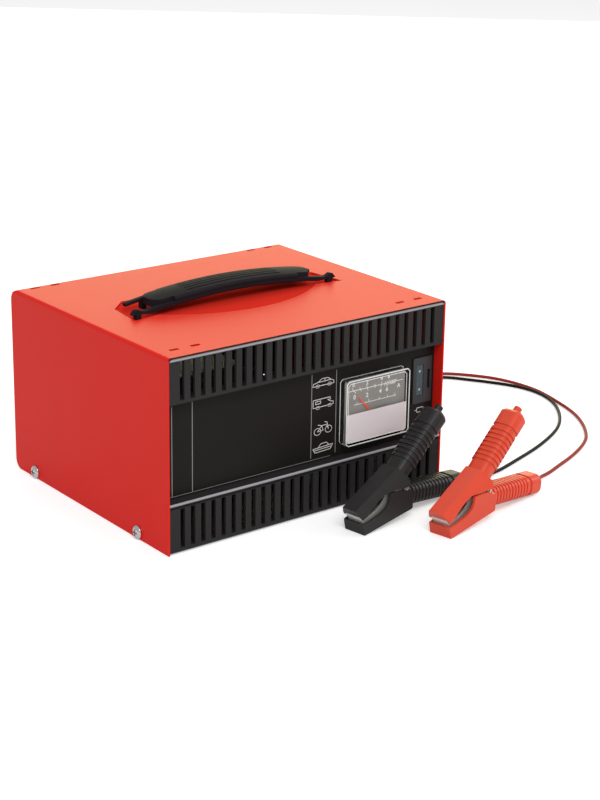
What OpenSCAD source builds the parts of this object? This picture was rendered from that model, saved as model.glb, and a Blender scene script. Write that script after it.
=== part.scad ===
// Car battery charger: a folded steel case with moulded front and rear panels,
// an ammeter, a blade fuse, a lift-up carrying handle, a transformer with its
// rectifier and control board inside, and two spring clamps on their leads.
// The origin is at the centre of the case's base, +X to the right seen from
// the front, -Y towards the front, +Z up.

/* [Case] */
// Width of the case
case_w = 200; // [196:1:230]
// Depth of the case
case_d = 170; // [166:1:200]
// Height of the case, without the handle
case_h = 115; // [112:1:135]
// Thickness of the cover's steel sheet
sheet_t = 1; // [0.8:0.1:1.2]
// Outside radius of the bends along the top
bend_r = 2.2; // [1.6:0.1:4]
// Outside radius of the cover's rear corners
rear_r = 7; // [3:0.5:8]
// Width of the lip turned in round the back
lip_w = 8; // [6:0.5:9]
// Height of the side screws above the base
screw_z = 4.2; // [4.1:0.1:5]
// Distance of the front side screws from the case's front
screw_front = 31; // [25:1:40]
// Distance of the rear side screws from the case's back
screw_rear = 24.5; // [20:0.5:35]
// Diameter of the side screws' heads
screw_head_d = 8; // [7:0.1:8.2]
// Diameter of the side screws' shanks
screw_d = 3.8; // [3.5:0.1:4]
// Length of the slits lanced in the top
lance_l = 6; // [5:0.5:8]
// Width of the slits lanced in the top
lance_w = 2.6; // [1.8:0.1:2.8]

/* [Base tray] */
// Thickness of the base tray's sheet
tray_t = 1; // [0.8:0.1:1.2]
// Height of the tray's side flanges
flange_h = 14; // [11:1:20]

/* [Front and rear panels] */
// How far the front panel's face stands behind the cover's edge
face_inset = 0.5; // [0.5:0.1:1]
// Wall of the moulded panels
panel_t = 2; // [1.6:0.1:2.2]
// Depth of the sunk field between the grilles
field_depth = 7; // [6.5:0.1:7.5]
// Height of the upper grille block
upper_h = 26.1; // [24:0.1:28]
// Height of the lower grille block
lower_h = 28.9; // [26:0.1:29.4]
// Width of a grille slot
slot_w = 3; // [2:0.1:4]
// Distance from one grille slot to the next
slot_pitch = 6.94; // [6:0.01:9]
// Radius of the beads along the grilles' top edges
bead_r = 0.9; // [0.6:0.1:0.9]
// Thickness of the printed front label
label_t = 0.3; // [0.2:0.05:0.4]

/* [Ammeter] */
// Width of the meter's clear cover
meter_w = 48.6; // [46:0.2:50]
// Height of the meter's clear cover
meter_h = 40.4; // [39:0.2:44]
// Meter centre, in from the case's right side
meter_side = 50.5; // [49:0.5:54]
// Meter centre, below the middle of the sunk field
meter_drop = 1.85; // [0:0.05:4]
// How far the clear cover stands out of the label
meter_proud = 7; // [6.5:0.1:7]
// Wall of the clear cover
meter_wall = 1.3; // [1:0.1:1.5]
// Depth of the meter's case behind the label
meter_deep = 24; // [22:1:30]
// Pivot of the pointer, below the meter's centre
pivot_drop = 7.5; // [6:0.5:9]
// Length of the pointer from its pivot
needle_l = 21.5; // [18:0.5:22]
// Angle of the resting pointer to the left of upright
needle_rest = 40; // [35:1:45]
// Diameter of the pointer's spindle
spindle_d = 1.2; // [1:0.1:1.6]

/* [Fuse] */
// Fuse centre, in from the case's right side
fuse_side = 13.2; // [12.5:0.1:14]
// Fuse centre, above the middle of the sunk field
fuse_rise = 6.15; // [3:0.05:8]
// Width of the fuse's body
fuse_l = 19.1; // [18:0.1:20]
// Thickness of the fuse's body
fuse_t = 5.1; // [4.6:0.1:5.4]
// Width of the fuse holder's frame
holder_w = 14.7; // [14:0.1:15]
// Height of the fuse holder's frame
holder_h = 29; // [27:0.5:31]

/* [Handle] */
// Length of the grip
grip_l = 117; // [110:1:118]
// Width of the grip
grip_w = 21.6; // [20:0.2:24]
// Thickness of the grip in its middle
grip_t = 6.6; // [6:0.1:7]
// Height of the grip's crown above the case's top
grip_rise = 11.8; // [11.6:0.1:13]
// Radius of the grip's arch
arch_r = 400; // [380:5:440]
// Handle centre line, behind the case's middle
handle_y = -0.5; // [-2:0.5:2]
// Width of a handle strap
strap_w = 3.4; // [3:0.1:3.8]
// Thickness of a handle strap
strap_t = 2; // [1.8:0.1:2.2]
// How far the handle lifts
handle_lift = 8; // [5:0.5:10]
// Half length of the recess under the handle
recess_x = 76; // [75:0.5:78]
// Depth of the recess under the handle
recess_deep = 1.5; // [1.2:0.1:2]

/* [Clamps] */
// Width of a clamp at its tip
clamp_tip_w = 14; // [13:0.5:15]
// Width of a clamp at its heel
clamp_heel_w = 21; // [20.5:0.5:22]
// Wall of the clamps' insulating covers
clamp_wall = 1.5; // [1.4:0.1:1.6]
// Thickness of the clamps' steel jaws
jaw_t = 1; // [0.8:0.1:1.1]
// Radius of the clamps' rivets
rivet_r = 2.45; // [2.2:0.05:2.5]
// Width of a clamp's handle
hand_w = 15.5; // [14:0.5:17]
// Thickness of a clamp's handle
hand_t = 12.5; // [12:0.5:13]
// Height of the ribs on the clamps' handles
rib_h = 0.6; // [0.4:0.1:0.8]
// Distance from one rib to the next
rib_pitch = 3.1; // [2.8:0.1:3.6]
// Wire diameter of the clamps' torsion springs
spring_d = 1.2; // [1:0.1:1.3]

/* [Leads] */
// Diameter of the two charging leads
lead_d = 2.2; // [2:0.1:2.4]
// Radius of the coils at the middle of their turns
coil_r = 13; // [12.5:0.1:13.5]
// Clear gap between the turns of a coil
coil_gap = 0.6; // [0.5:0.05:0.8]
// Height of the rear glands above the base
gland_z = 40; // [38:1:44]
// Distance of the two rear glands from the middle
gland_x = 60; // [58:0.5:62]
// Bore of the mains cable gland
mains_bore = 7.2; // [6:0.1:8]

/* [Transformer] */
// Width of the transformer's core, as a share of the case's
core_share = 0.42; // [0.39:0.005:0.44]
// Height of the transformer's core
core_h = 70; // [65:1:76]
// Stack depth of the transformer's core
core_d = 42; // [36:1:46]
// Transformer centre, left of the middle, as a share of the case's width
core_left = 0.19; // [0.18:0.005:0.195]
// Transformer centre, behind the middle
core_y = 8; // [2:1:12]

/* [Electronics] */
// Length of the control board
board_l = 60; // [56:1:62]
// Width of the control board
board_w = 45; // [40:1:48]
// Height of the control board's underside
board_z = 18; // [16:1:24]
// Side of the bridge rectifier
rect_side = 28.5; // [26:0.5:30]
// Fin height of the rectifier's heatsink
fin_h = 26; // [20:1:32]

/* [Hidden] */
$fn = 64;

// Gap round a part that is laid into another
fit = 0.2;
// Radial clearance of a pin that turns in its hole
run_fit = 0.05;
// How far a cut runs past the face that it opens
past = 1;

// Case planes
half_w = case_w / 2;
front_y = -case_d / 2;
rear_y = case_d / 2;
in_x = half_w - sheet_t;
in_top = case_h - sheet_t;
screw_ys = [front_y + screw_front, rear_y - screw_rear];
tray_x = in_x - fit / 2;
// Rounding of the cover's lower rear corners
foot_r = 6;

// Panel planes
panel_x = in_x - fit;
panel_top = in_top - fit;
panel_z = tray_t + 0.1;
face_y = front_y + face_inset;
field_y = face_y + field_depth;
panel_back = field_y + panel_t;
label_y = field_y - label_t;
upper_z = panel_top - upper_h;
lower_z = panel_z + lower_h;
slot_rim = 1.9;
slot_count = floor((2 * panel_x - 10) / slot_pitch);
groove_w = 1.2;
groove_deep = 0.8;
flange_y = 10.5;
// The rear panel's face lies against the cover's lip
rear_shift = rear_y - sheet_t - fit + face_y;
rear_field = -field_y + rear_shift;
rear_inner = -panel_back + rear_shift;
rear_top = in_top - (rear_r - sheet_t) - fit;
lance_xs = [half_w - 26.2, half_w - 12.3];
lance_y = flange_y + 1.4;

// Ammeter planes, from the front backwards
field_z = (lower_z + upper_z) / 2;
meter_x = half_w - meter_side;
meter_z = field_z - meter_drop;
glass_y = label_y - meter_proud;
screen_y = glass_y + meter_wall + 0.1;
needle_y = screen_y + 0.9;
needle_t = 0.3;
dial_y = needle_y + 1.2;
dial_t = 0.5;
case_front = dial_y + dial_t;
case_back = label_y + meter_deep;
case_wall = 1.5;
meter_in_w = meter_w - 2 * meter_wall - 2 * fit;
meter_in_h = meter_h - 2 * meter_wall - 2 * fit;
dial_split = 1;
pivot_z = meter_z - pivot_drop;
bridge_t = 1;
bridge_front = case_front + 1.2;
bridge_back = case_back - case_wall - 5;

// Fuse planes
fuse_x = half_w - fuse_side;
fuse_z = field_z + fuse_rise;
holder_y = label_y - 1;
holder_back = label_y + 22;
fuse_y = holder_y + 0.3;
fuse_deep = 11.2;
blade_w = 5.2;
blade_t = 0.65;
blade_l = 7;
blade_z = (fuse_l - blade_w) / 2;

// Handle and recess
crown_z = case_h + grip_rise;
arch_z = crown_z - arch_r;
under_r = arch_r - grip_t;
// The rear strap lies a little higher in the grip and is thinner
function strap_r(sy) = under_r + (sy > 0 ? 3.2 : 1.85);
function strap_h(sy) = strap_t + (sy > 0 ? 0 : 0.7);
strap_y = grip_w / 2 - 1.9;
recess_y = handle_y + 3;
// The rear strap's feet stand further in, where the recess narrows
rear_in = 15;
function foot_in(sy) = sy > 0 ? rear_in : 0;
block_z = case_h + 3;
floor_z = case_h - recess_deep;
lens_x = 58;
lens_deep = 21;
lens_r = (lens_x * lens_x + lens_deep * lens_deep) / (2 * lens_deep);
foot_x = recess_x - 11.5;
foot_end = recess_x - 2.2;
foot_z = floor_z + 0.1;
leg_x = recess_x - 7;
leg_w = 2.2;
// Shoulder of a leg on each side, which stands on the recess floor
seat = 0.75;
tail_x = recess_x - 8;
hook_z = floor_z - sheet_t - handle_lift - 0.1;

// Transformer and electronics
core_w = case_w * core_share;
core_x = -case_w * core_left;
core_z = tray_t;
core_leg = core_w / 3;
yoke = core_leg / 2;
window_z = core_z + yoke;
window_h = core_h - 2 * yoke;
bobbin_wall = 1.2;
bobbin_x = core_leg / 2 + yoke - 0.4;
heatsink_c = [half_w - 40, rear_y - 41];
heatsink_l = 56;
heatsink_w = 44;
plate_t = 3;
rect_h = 10;
board_c = [half_w - 42, -22.5];
board_t = 1.6;
board_top = board_z + board_t;
hole_inset = 4;
block_c = [40 - half_w, rear_y - 23];
block_size = [30, 16, 18];

// Clamps: the tip's lower corner is the local origin, X runs back along the
// clamp, Z up, and each clamp has its own place and heading
red_place = [42.3, -150.9];
black_place = [5.6, -118.5];
red_heading = 11.5;
black_heading = 9;
pivot = [33, 20.5];
ear_r = 3.9;
clamp_open = 35;
lower_angle = -7;
upper_angle = 38.2;
lower_root = [34.4, 13.2];
upper_root = [34, 27.2];
lower_len = 59;
upper_len = 46;
nub_d = 5;
nub_l = 4;
// Where a lead ends in its crimp, along the lower handle
crimp_l = 36;
tang_w = 11;
// Half width of a tang where it joins its jaw
neck = 4.2;

// Leads: the twin exits of the rear gland and the wound length behind the case
exit_y = rear_y - 0.7;
exit_gap = 8;
lead_r = lead_d / 2;
lay_z = lead_r + 0.1;
turn_pitch = lead_d + coil_gap;
coil_layers = 4;
tie_t = 0.6;
coil_z = lead_r + tie_t + 0.1;
coil_top = coil_z + (coil_layers - 1) * turn_pitch;
coil_y = 126;
loop_rings = 24;

// ---------------------------------------------------------------- shapes

// Box between two corners
module slab(lo, hi) translate(lo) cube(hi - lo);

// Rectangle with four round corners, centred
module round_rect(w, h, r) {
    square([w - 2 * r, h], center = true);
    square([w, h - 2 * r], center = true);
    for (x = [-1, 1], y = [-1, 1])
        translate([x * (w / 2 - r), y * (h / 2 - r)]) circle(r = r);
}

// Upright rectangle with its two upper corners round
module arch_profile(x, h, r) {
    translate([-x, -past]) square([2 * x, h - r + past]);
    translate([r - x, 0]) square([2 * (x - r), h]);
    for (s = [-1, 1]) translate([s * (x - r), h - r]) circle(r = r);
}

// Draw an outline given in X and Z, pushed out along Y
module along_y(y0, y1) translate([0, y1, 0]) rotate([90, 0, 0]) linear_extrude(y1 - y0) children();

// Draw an outline given in Y and Z, pushed out along X
module along_x(x0, x1) translate([x0, 0, 0]) rotate([90, 0, 90]) linear_extrude(x1 - x0) children();

// Round bar along Y
module rod_y(x, z, r, y0, y1) translate([x, y1, z]) rotate([90, 0, 0]) cylinder(r = r, h = y1 - y0);

// Round bar along X
module rod_x(y, z, r, x0, x1) translate([x0, y, z]) rotate([0, 90, 0]) cylinder(r = r, h = x1 - x0);

// ---------------------------------------------------------------- swept tubes

function unit(v) = v / norm(v);
function tangent(p, i) = unit(p[min(i + 1, len(p) - 1)] - p[max(i - 1, 0)]);
function side_of(t) = abs(t.z) < 0.9 ? unit(cross([0, 0, 1], t)) : unit(cross([0, 1, 0], t));
// Frames carried along the path without twist
function carried(p) = [
    for (i = 0, n = side_of(tangent(p, 0)); i < len(p);
         i = i + 1, n = i < len(p) ? unit(n - (n * tangent(p, i)) * tangent(p, i)) : n) n
];
function tube_points(p, r, sides) = let (ns = carried(p)) [
    for (i = [0 : len(p) - 1]) let (t = tangent(p, i), b = cross(t, ns[i]))
        for (k = [0 : sides - 1]) let (a = 360 * (k + 0.5) / sides)
            p[i] + r * (cos(a) * ns[i] + sin(a) * b)
];
function tube_faces(n, sides) = concat(
    [for (k = [1 : sides - 2]) [0, k + 1, k]],
    [for (i = [0 : n - 2], k = [0 : sides - 1], half = [0, 1])
        let (a = i * sides + k, b = i * sides + (k + 1) % sides)
        half == 0 ? [a, b, b + sides] : [a, b + sides, a + sides]],
    [for (k = [1 : sides - 2]) let (o = (n - 1) * sides) [o, o + k, o + k + 1]]
);
module tube(p, r, sides) polyhedron(tube_points(p, r, sides), tube_faces(len(p), sides), convexity = 6);

// Least distance between parts of a path that lie further apart along it than skip points
function self_distance(p, skip) = min([
    for (i = [0 : len(p) - 1 - skip]) min([for (j = [i + skip : len(p) - 1]) norm(p[i] - p[j])])
]);

// ---------------------------------------------------------------- case

// Solid of the folded cover, grown inwards by t
module cover_block(t, y0, z0) {
    intersection() {
        along_y(y0, rear_y - t) arch_profile(half_w - t, case_h - t, bend_r - t);
        along_x(-half_w, half_w) side_profile(t, y0, z0);
    }
}

// Side view of the cover: the rear corners are round
module side_profile(t, y0, z0) {
    r = rear_r - t;
    y1 = rear_y - t;
    z1 = case_h - t;
    translate([y0, z0]) square([y1 - r - y0, z1 - z0]);
    translate([y0, z0 + foot_r]) square([y1 - y0, z1 - r - z0 - foot_r]);
    translate([y1 - r, z1 - r]) circle(r = r);
    translate([y1 - foot_r, z0 + foot_r]) circle(r = foot_r);
}

// Outline of the recess under the handle, grown outwards by g
function recess_points(g) = let (a = asin(lens_x / lens_r), cy = recess_y - 36 + lens_r) concat(
    [for (k = [-8 : 8]) [(lens_r + g) * sin(a * k / 8), cy - (lens_r + g) * cos(a * k / 8)]],
    [
        [recess_x + g, recess_y - 18 - g],
        [recess_x - 3.4 + g, recess_y + 8.7 + g / 2],
        [recess_x - 15 + g / 2, recess_y + 20 + g],
        [15 - recess_x - g / 2, recess_y + 20 + g],
        [3.4 - recess_x - g, recess_y + 8.7 + g / 2],
        [-recess_x - g, recess_y - 18 - g]
    ]
);

module at_lances() {
    for (sx = [-1, 1], x = lance_xs, sy = [-1, 1])
        translate([sx * x, sy > 0 ? rear_y - lance_y + 3.9 : front_y + lance_y, 0]) children();
}

module cover_shell() color("#E0503A") {
    difference() {
        union() {
            difference() {
                cover_block(0, front_y, 0);
                cover_block(sheet_t, front_y - past, -foot_r - past);
                slab([lip_w - half_w, rear_y - 2 * sheet_t, -past],
                    [half_w - lip_w, rear_y + past, case_h - lip_w]);
            }
            translate([0, 0, floor_z - sheet_t])
                linear_extrude(case_h - floor_z + sheet_t) polygon(recess_points(sheet_t));
        }
        translate([0, 0, floor_z]) linear_extrude(recess_deep + past) polygon(recess_points(0));
        for (s = [-1, 1], sy = [-1, 1])
            translate([s * (leg_x + leg_w / 2 - foot_in(sy)), handle_y + sy * strap_y, floor_z])
                cube([leg_w + 0.8, strap_w + 0.8, 2 * (past + sheet_t)], center = true);
        for (y = screw_ys) rod_x(y, screw_z, screw_d / 2 + fit, -half_w - past, half_w + past);
        at_lances() slab([-lance_l / 2, -lance_w / 2, in_top - past],
            [lance_l / 2, lance_w / 2, case_h + past]);
    }
    at_lances() lance_tongue();
}

// Tongue pressed down beside a slit, which holds a panel's flange
module lance_tongue() {
    tongue_z = panel_top - panel_t - 0.1;
    slab([-lance_l / 2, lance_w / 2, tongue_z - sheet_t],
        [lance_l / 2, lance_w / 2 + sheet_t, in_top + sheet_t / 2]);
    slab([-lance_l / 2, -lance_w, tongue_z - sheet_t], [lance_l / 2, lance_w / 2 + sheet_t, tongue_z]);
}

module base_tray() color("#B9BCBE") {
    difference() {
        union() {
            slab([-tray_x, front_y + 2, 0], [tray_x, rear_y - 2, tray_t]);
            for (s = [-1, 1])
                slab([s > 0 ? tray_x - tray_t : -tray_x, panel_back + 1, 0],
                    [s > 0 ? tray_x : tray_t - tray_x, rear_inner - 1, flange_h]);
        }
        for (y = screw_ys) rod_x(y, screw_z, screw_d / 2 + 0.1, -half_w, half_w);
        for (x = [core_x - core_w / 2 - 8, core_x + core_w / 2 + 8], y = [core_y - 12, core_y + 12])
            translate([x, y, -past]) cylinder(d = 4.3, h = tray_t + 2 * past);
    }
}

module cover_screws() color("#D5D7D8") {
    for (s = [-1, 1], y = screw_ys) translate([s * half_w, y, screw_z]) rotate([0, s * 90, 0]) pan_screw();
}

// Pan-head screw with a cross recess, standing on its head's seat
module pan_screw() {
    head_h = 2.4;
    difference() {
        union() {
            rotate_extrude() polygon([
                [0, 0], [screw_head_d / 2, 0], [screw_head_d / 2, 0.9], [screw_head_d / 2 - 0.5, 1.6],
                [screw_head_d / 2 - 1.6, 2.2], [screw_head_d / 2 - 2.6, head_h], [0, head_h]
            ]);
            translate([0, 0, -7]) cylinder(d = screw_d, h = 7.5);
        }
        for (a = [0, 90]) rotate([0, 0, a]) slab([-2.2, -0.45, head_h - 1.4], [2.2, 0.45, head_h + past]);
    }
}

// Moulded panel with its two grilles, drawn for the front
module moulded_panel(top, slot_top) {
    difference() {
        union() {
            slab([-panel_x, field_y, lower_z - panel_t], [panel_x, panel_back, upper_z + panel_t]);
            grille_block(upper_z, top);
            grille_block(panel_z, lower_z);
            for (z = [top, lower_z]) rod_x(front_y + bead_r, z - bead_r, bead_r, -panel_x, panel_x);
        }
        slab([-panel_x - past, face_y - past, lower_z - 2 * bead_r - groove_w - 0.2],
             [panel_x + past, face_y + groove_deep, lower_z - 2 * bead_r - 0.2]);
        slots(upper_z + slot_rim, slot_top);
        slots(panel_z + slot_rim + 0.2, lower_z - 2 * bead_r - groove_w - 0.6);
    }
}

// Hollow block with a slotted face, from z0 to z1
module grille_block(z0, z1) {
    difference() {
        slab([-panel_x, face_y, z0], [panel_x, panel_back, z1]);
        slab([panel_t - panel_x, face_y + panel_t, z0 + panel_t],
            [panel_x - panel_t, panel_back + past, z1 - panel_t]);
    }
}

module slots(z0, z1) {
    for (k = [0 : slot_count - 1]) {
        x = (k - (slot_count - 1) / 2) * slot_pitch;
        slab([x - slot_w / 2, face_y - past, z0], [x + slot_w / 2, face_y + panel_t + 0.5, z1]);
    }
}

module front_panel() color("#333131") {
    intersection() {
        difference() {
            union() {
                moulded_panel(panel_top, panel_top - slot_rim);
                slab([-panel_x, face_y, panel_top - panel_t], [panel_x, front_y + flange_y, panel_top]);
            }
            meter_opening();
            fuse_opening();
        }
        along_y(front_y - past, 0) arch_profile(panel_x, panel_top, bend_r);
    }
}

// One leg of the flange that hooks over the rear tongues, from corner to corner in Y and Z
module rear_flange(lo, hi) slab([10 - panel_x, lo.x, lo.y], [panel_x - 10, hi.x, hi.y]);

module rear_panel() color("#333131") {
    difference() {
        union() {
            intersection() {
                translate([0, rear_shift, 0]) rotate([0, 0, 180]) moulded_panel(rear_top,
                    case_h - lip_w - slot_rim);
                slab([-panel_x, 0, 0], [panel_x, rear_y - sheet_t - fit / 2, in_top]);
            }
            rear_flange([rear_inner - 3, rear_top - panel_t], [rear_inner + 1, rear_top]);
            rear_flange([rear_inner - 3, rear_top - panel_t], [rear_inner - 1, panel_top]);
            rear_flange([rear_inner - 3, panel_top - panel_t], [rear_y - flange_y + 3, panel_top]);
        }
        rod_y(-gland_x, gland_z, 6 + fit, 0, rear_y);
        along_y(0, rear_y) translate([gland_x, gland_z]) round_rect(18 + 2 * fit, 10 + 2 * fit, 4 + fit);
    }
}

module meter_opening() {
    slab([meter_x - meter_in_w / 2 - fit, face_y - past, meter_z - meter_in_h / 2 - fit],
         [meter_x + meter_in_w / 2 + fit, panel_back + past, meter_z + meter_in_h / 2 + fit]);
}

module fuse_opening() {
    slab([fuse_x - 4.4 - fit, face_y - past, fuse_z - 11.4 - fit],
        [fuse_x + 8.4 + fit, panel_back + past, fuse_z + 11.4 + fit]);
}

module front_label() color("#232120") {
    difference() {
        slab([0.6 - panel_x, label_y, lower_z + 0.4], [panel_x - 0.6, field_y, upper_z - 0.4]);
        meter_opening();
        fuse_opening();
    }
}

module mains_gland() color("#1F1F1F") {
    difference() {
        union() {
            rod_y(-gland_x, gland_z, 6, rear_inner - 3.5, rear_field + 0.5);
            rod_y(-gland_x, gland_z, 8.5, rear_field, rear_field + 4.5);
            rod_y(-gland_x, gland_z, 6.8, rear_field + 4.4, exit_y);
        }
        rod_y(-gland_x, gland_z, mains_bore / 2, rear_inner - 5, rear_y + past);
    }
    difference() {
        rod_y(-gland_x, gland_z, 8, rear_inner - 2.9, rear_inner - fit / 2);
        rod_y(-gland_x, gland_z, 6 + run_fit, rear_inner - 4, rear_inner + past);
    }
}

module lead_gland() color("#1F1F1F") {
    translate([gland_x, 0, gland_z]) {
        along_y(rear_inner - 3.5, rear_field + 0.5) round_rect(18, 10, 4);
        along_y(rear_field, rear_field + 2.5) round_rect(22, 14, 6);
        for (s = [-1, 1]) rod_y(s * exit_gap / 2, 0, 3, rear_field + 2, exit_y);
        along_y(rear_inner - 6, rear_inner - 3.5) round_rect(21, 13, 5);
    }
}

// ---------------------------------------------------------------- handle

// Cross-section of the grip: radius from the arch's centre, distance across
function grip_section() = let (hw = grip_w / 2) concat(
    [[under_r, hw - 1.2], [under_r + 1.2, hw], [arch_r - 2.2, hw]],
    [for (k = [6 : -1 : -6]) [arch_r - 1.1 * (k / 6) * (k / 6), (hw - 1.1) * k / 6]],
    [[arch_r - 2.2, -hw], [under_r + 1.2, -hw], [under_r, 1.2 - hw]]
);

// Sweep a section round the arch's centre over the given half length
module arched(half_l) {
    a = asin(half_l / arch_r);
    translate([0, handle_y, arch_z]) rotate([90, 0, 0]) rotate([0, 0, 90 - a])
        rotate_extrude(angle = 2 * a, $fn = 360) children();
}

module grip_outline() {
    square([grip_l - 27, grip_w], center = true);
    round_rect(grip_l, grip_w - 4.6, 7.5);
}

module handle_grip() color("#2B2A29") {
    difference() {
        intersection() {
            arched(grip_l / 2 + 2) polygon(grip_section());
            translate([0, handle_y, block_z]) linear_extrude(grip_rise) grip_outline();
        }
        for (k = [-2 : 2]) arched(34)
            translate([arch_r - 0.7 - k * k / 10, 3.2 * k - 0.55]) square([3, 1.1]);
        // The swept section's own second axis points to the front
        for (s = [-1, 1]) arched(grip_l / 2 + 4)
            translate([strap_r(-s) - strap_h(-s) / 2 - 0.1, s > 0 ? strap_y - strap_w / 2 - 0.1 : -grip_w])
                square([strap_h(-s) + 0.2, grip_w - strap_y + strap_w / 2 + 0.1]);
        // Ways for the rear strap's legs
        for (s = [-1, 1])
            translate([s * (leg_x + leg_w / 2 - rear_in), handle_y + strap_y + grip_w / 2, block_z])
                cube([leg_w + 2 * seat + 0.6, grip_w + strap_w + 0.2,
                    2 * (bar_z(leg_x - rear_in, strap_r(1)) - block_z)], center = true);
    }
}

// Side view of half a strap: the arched bar, its end, and the leg with its hook
function bar_z(x, r) = arch_z + sqrt(r * r - x * x);
// Leg through the cover with its hook, from z down, moved in by g
function strap_leg(s, g, z) = let (x0 = leg_x - g, x1 = leg_x + leg_w - g) [
    [s * (x1 + seat), z], [s * (x1 + seat), foot_z], [s * x1, foot_z], [s * x1, hook_z],
    [s * (x1 + 2.2), hook_z], [s * (x1 + 2.2), hook_z - 1.2], [s * x1, hook_z - 3],
    [s * x0, hook_z - 3], [s * x0, foot_z], [s * (x0 - seat), foot_z], [s * (x0 - seat), z]
];
function bar_edge(s, x0, x1, r) = [
    for (k = [0 : 6]) let (x = x0 + (x1 - x0) * k / 6) [s * x, bar_z(x, r)]
];
function front_half(s) = let (r = strap_r(-1), h = strap_h(-1) / 2) concat(
    bar_edge(s, 0, foot_x + 1, r + h),
    [[s * (foot_x + 3.7), foot_z + 4.9], [s * (foot_x + 5.9), foot_z + 6.1], [s * (foot_x + 8), foot_z + 5.6],
        [s * (foot_x + 10.2), foot_z + 2.9]],
    strap_leg(s, 0, foot_z + 2.6),
    [[s * (foot_x + 2.6), foot_z + 2.7]],
    bar_edge(s, foot_x - 3, 0, r - h)
);
function rear_half(s) = let (r = strap_r(1), h = strap_h(1) / 2) concat(
    bar_edge(s, 0, tail_x, r + h),
    bar_edge(s, tail_x, leg_x + leg_w - rear_in + seat, r - h),
    strap_leg(s, rear_in, foot_z + 3),
    bar_edge(s, leg_x - rear_in - seat, 0, r - h)
);

module handle_straps() color("#2B2A29") {
    for (s = [-1, 1]) {
        along_y(handle_y - strap_y - strap_w / 2, handle_y - strap_y + strap_w / 2) polygon(front_half(s));
        along_y(handle_y + strap_y - strap_w / 2, handle_y + strap_y + strap_w / 2) polygon(rear_half(s));
    }
}

// ---------------------------------------------------------------- ammeter

// Box with round edges along Y, centred on the meter
module meter_box(w, h, r, y0, y1) along_y(y0, y1) translate([meter_x, meter_z]) round_rect(w, h, r);

module meter_cover() color("#DDE3E6", 0.4) {
    difference() {
        meter_box(meter_w, meter_h, 2.4, glass_y, label_y);
        meter_box(meter_w - 2 * meter_wall, meter_h - 2 * meter_wall, 1.4, glass_y + meter_wall,
            label_y + past);
    }
}

module meter_case() color("#242322") {
    difference() {
        meter_box(meter_in_w, meter_in_h, 1, case_front, case_back);
        meter_box(meter_in_w - 2 * case_wall, meter_in_h - 2 * case_wall, 0.6, case_front - past,
            case_back - case_wall);
        for (s = [-1, 1]) rod_y(meter_x + 10 * s, meter_z, 2 + run_fit, case_back - 2 * case_wall,
            case_back + past);
    }
}

module meter_dial() color("#7D7874") {
    difference() {
        meter_box(meter_in_w, meter_in_h, 1, dial_y, case_front);
        rod_y(meter_x, pivot_z, 2, dial_y - past, case_front + past);
    }
}

module meter_screen() color("#D8D2DA", 0.9) intersection() {
    slab([meter_x - meter_in_w / 2, screen_y, meter_z - meter_in_h / 2],
         [meter_x + meter_in_w / 2, screen_y + 0.5, meter_z - dial_split]);
    meter_box(meter_in_w, meter_in_h, 1.3, screen_y, dial_y);
}

module meter_bridge() color("#B08D45") {
    difference() {
        union() {
            for (y = [bridge_front, bridge_back])
                slab([meter_x - 15, y, pivot_z - 3], [meter_x + 15, y + bridge_t, pivot_z + 3]);
            for (s = [-1, 1])
                slab([meter_x + s * 14 - 1, bridge_front, pivot_z - 3],
                    [meter_x + s * 14 + 1, case_back - case_wall, pivot_z + 3]);
        }
        rod_y(meter_x, pivot_z, spindle_d / 2 + run_fit, bridge_front - past,
            bridge_back + bridge_t + past);
    }
}

module meter_coil() color("#A4562B") {
    translate([meter_x, bridge_back - 0.2, pivot_z]) rotate([90, 0, 0]) rotate_extrude()
        polygon([[6, 0], [9.4, 0], [9.4, 6], [6, 6]]);
}

module meter_studs() color("#C9A85A") {
    for (s = [-1, 1]) {
        rod_y(meter_x + 10 * s, meter_z, 2, case_back - case_wall - 1, case_back + 10);
        rod_y(meter_x + 10 * s, meter_z, 3.5, case_back - case_wall - 2, case_back - case_wall);
        rod_y(meter_x + 10 * s, meter_z, 3.6, case_back, case_back + 3.2);
    }
}

// Flat spiral from the spindle out to the bridge
module meter_hairspring() color("#C9A85A") {
    turns = 3.5;
    r0 = spindle_d / 2 + 0.15;
    r1 = 3.4;
    w = 0.2;
    steps = 84;
    inner = [for (k = [0 : steps]) let (a = 360 * turns * k / steps,
        r = r0 + (r1 - r0) * k / steps) [r * cos(a), r * sin(a)]];
    outer = [for (k = [steps : -1 : 0]) let (a = 360 * turns * k / steps,
        r = r0 + w + (r1 - r0) * k / steps) [r * cos(a), r * sin(a)]];
    along_y(bridge_front + bridge_t + 0.4, bridge_front + bridge_t + 0.9)
        translate([meter_x, pivot_z]) polygon(concat(inner, outer));
}

module meter_pointer() color("#E4572E") {
    hub_r = 2.4;
    translate([meter_x, 0, pivot_z]) rotate([0, -needle_rest, 0]) difference() {
        union() {
            along_y(needle_y, needle_y + needle_t) polygon([
                [-0.8, 0], [-0.45, needle_l * 0.8], [-0.15, needle_l], [0.15, needle_l],
                    [0.45, needle_l * 0.8], [0.8, 0],
                [1.1, -5], [-1.1, -5]
            ]);
            rod_y(0, 0, hub_r, needle_y, needle_y + 0.7);
        }
        rod_y(0, 0, spindle_d / 2, needle_y - past, needle_y + 2);
    }
}

module meter_spindle() color("#B8BCC0") {
    rod_y(meter_x, pivot_z, spindle_d / 2, needle_y - 0.3, bridge_back + bridge_t + 1);
    translate([meter_x, 0, pivot_z]) rotate([0, -needle_rest, 0])
        slab([-0.3, bridge_back - 6, 0], [0.3, bridge_back - 1, 4.8]);
}

// ---------------------------------------------------------------- fuse

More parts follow.
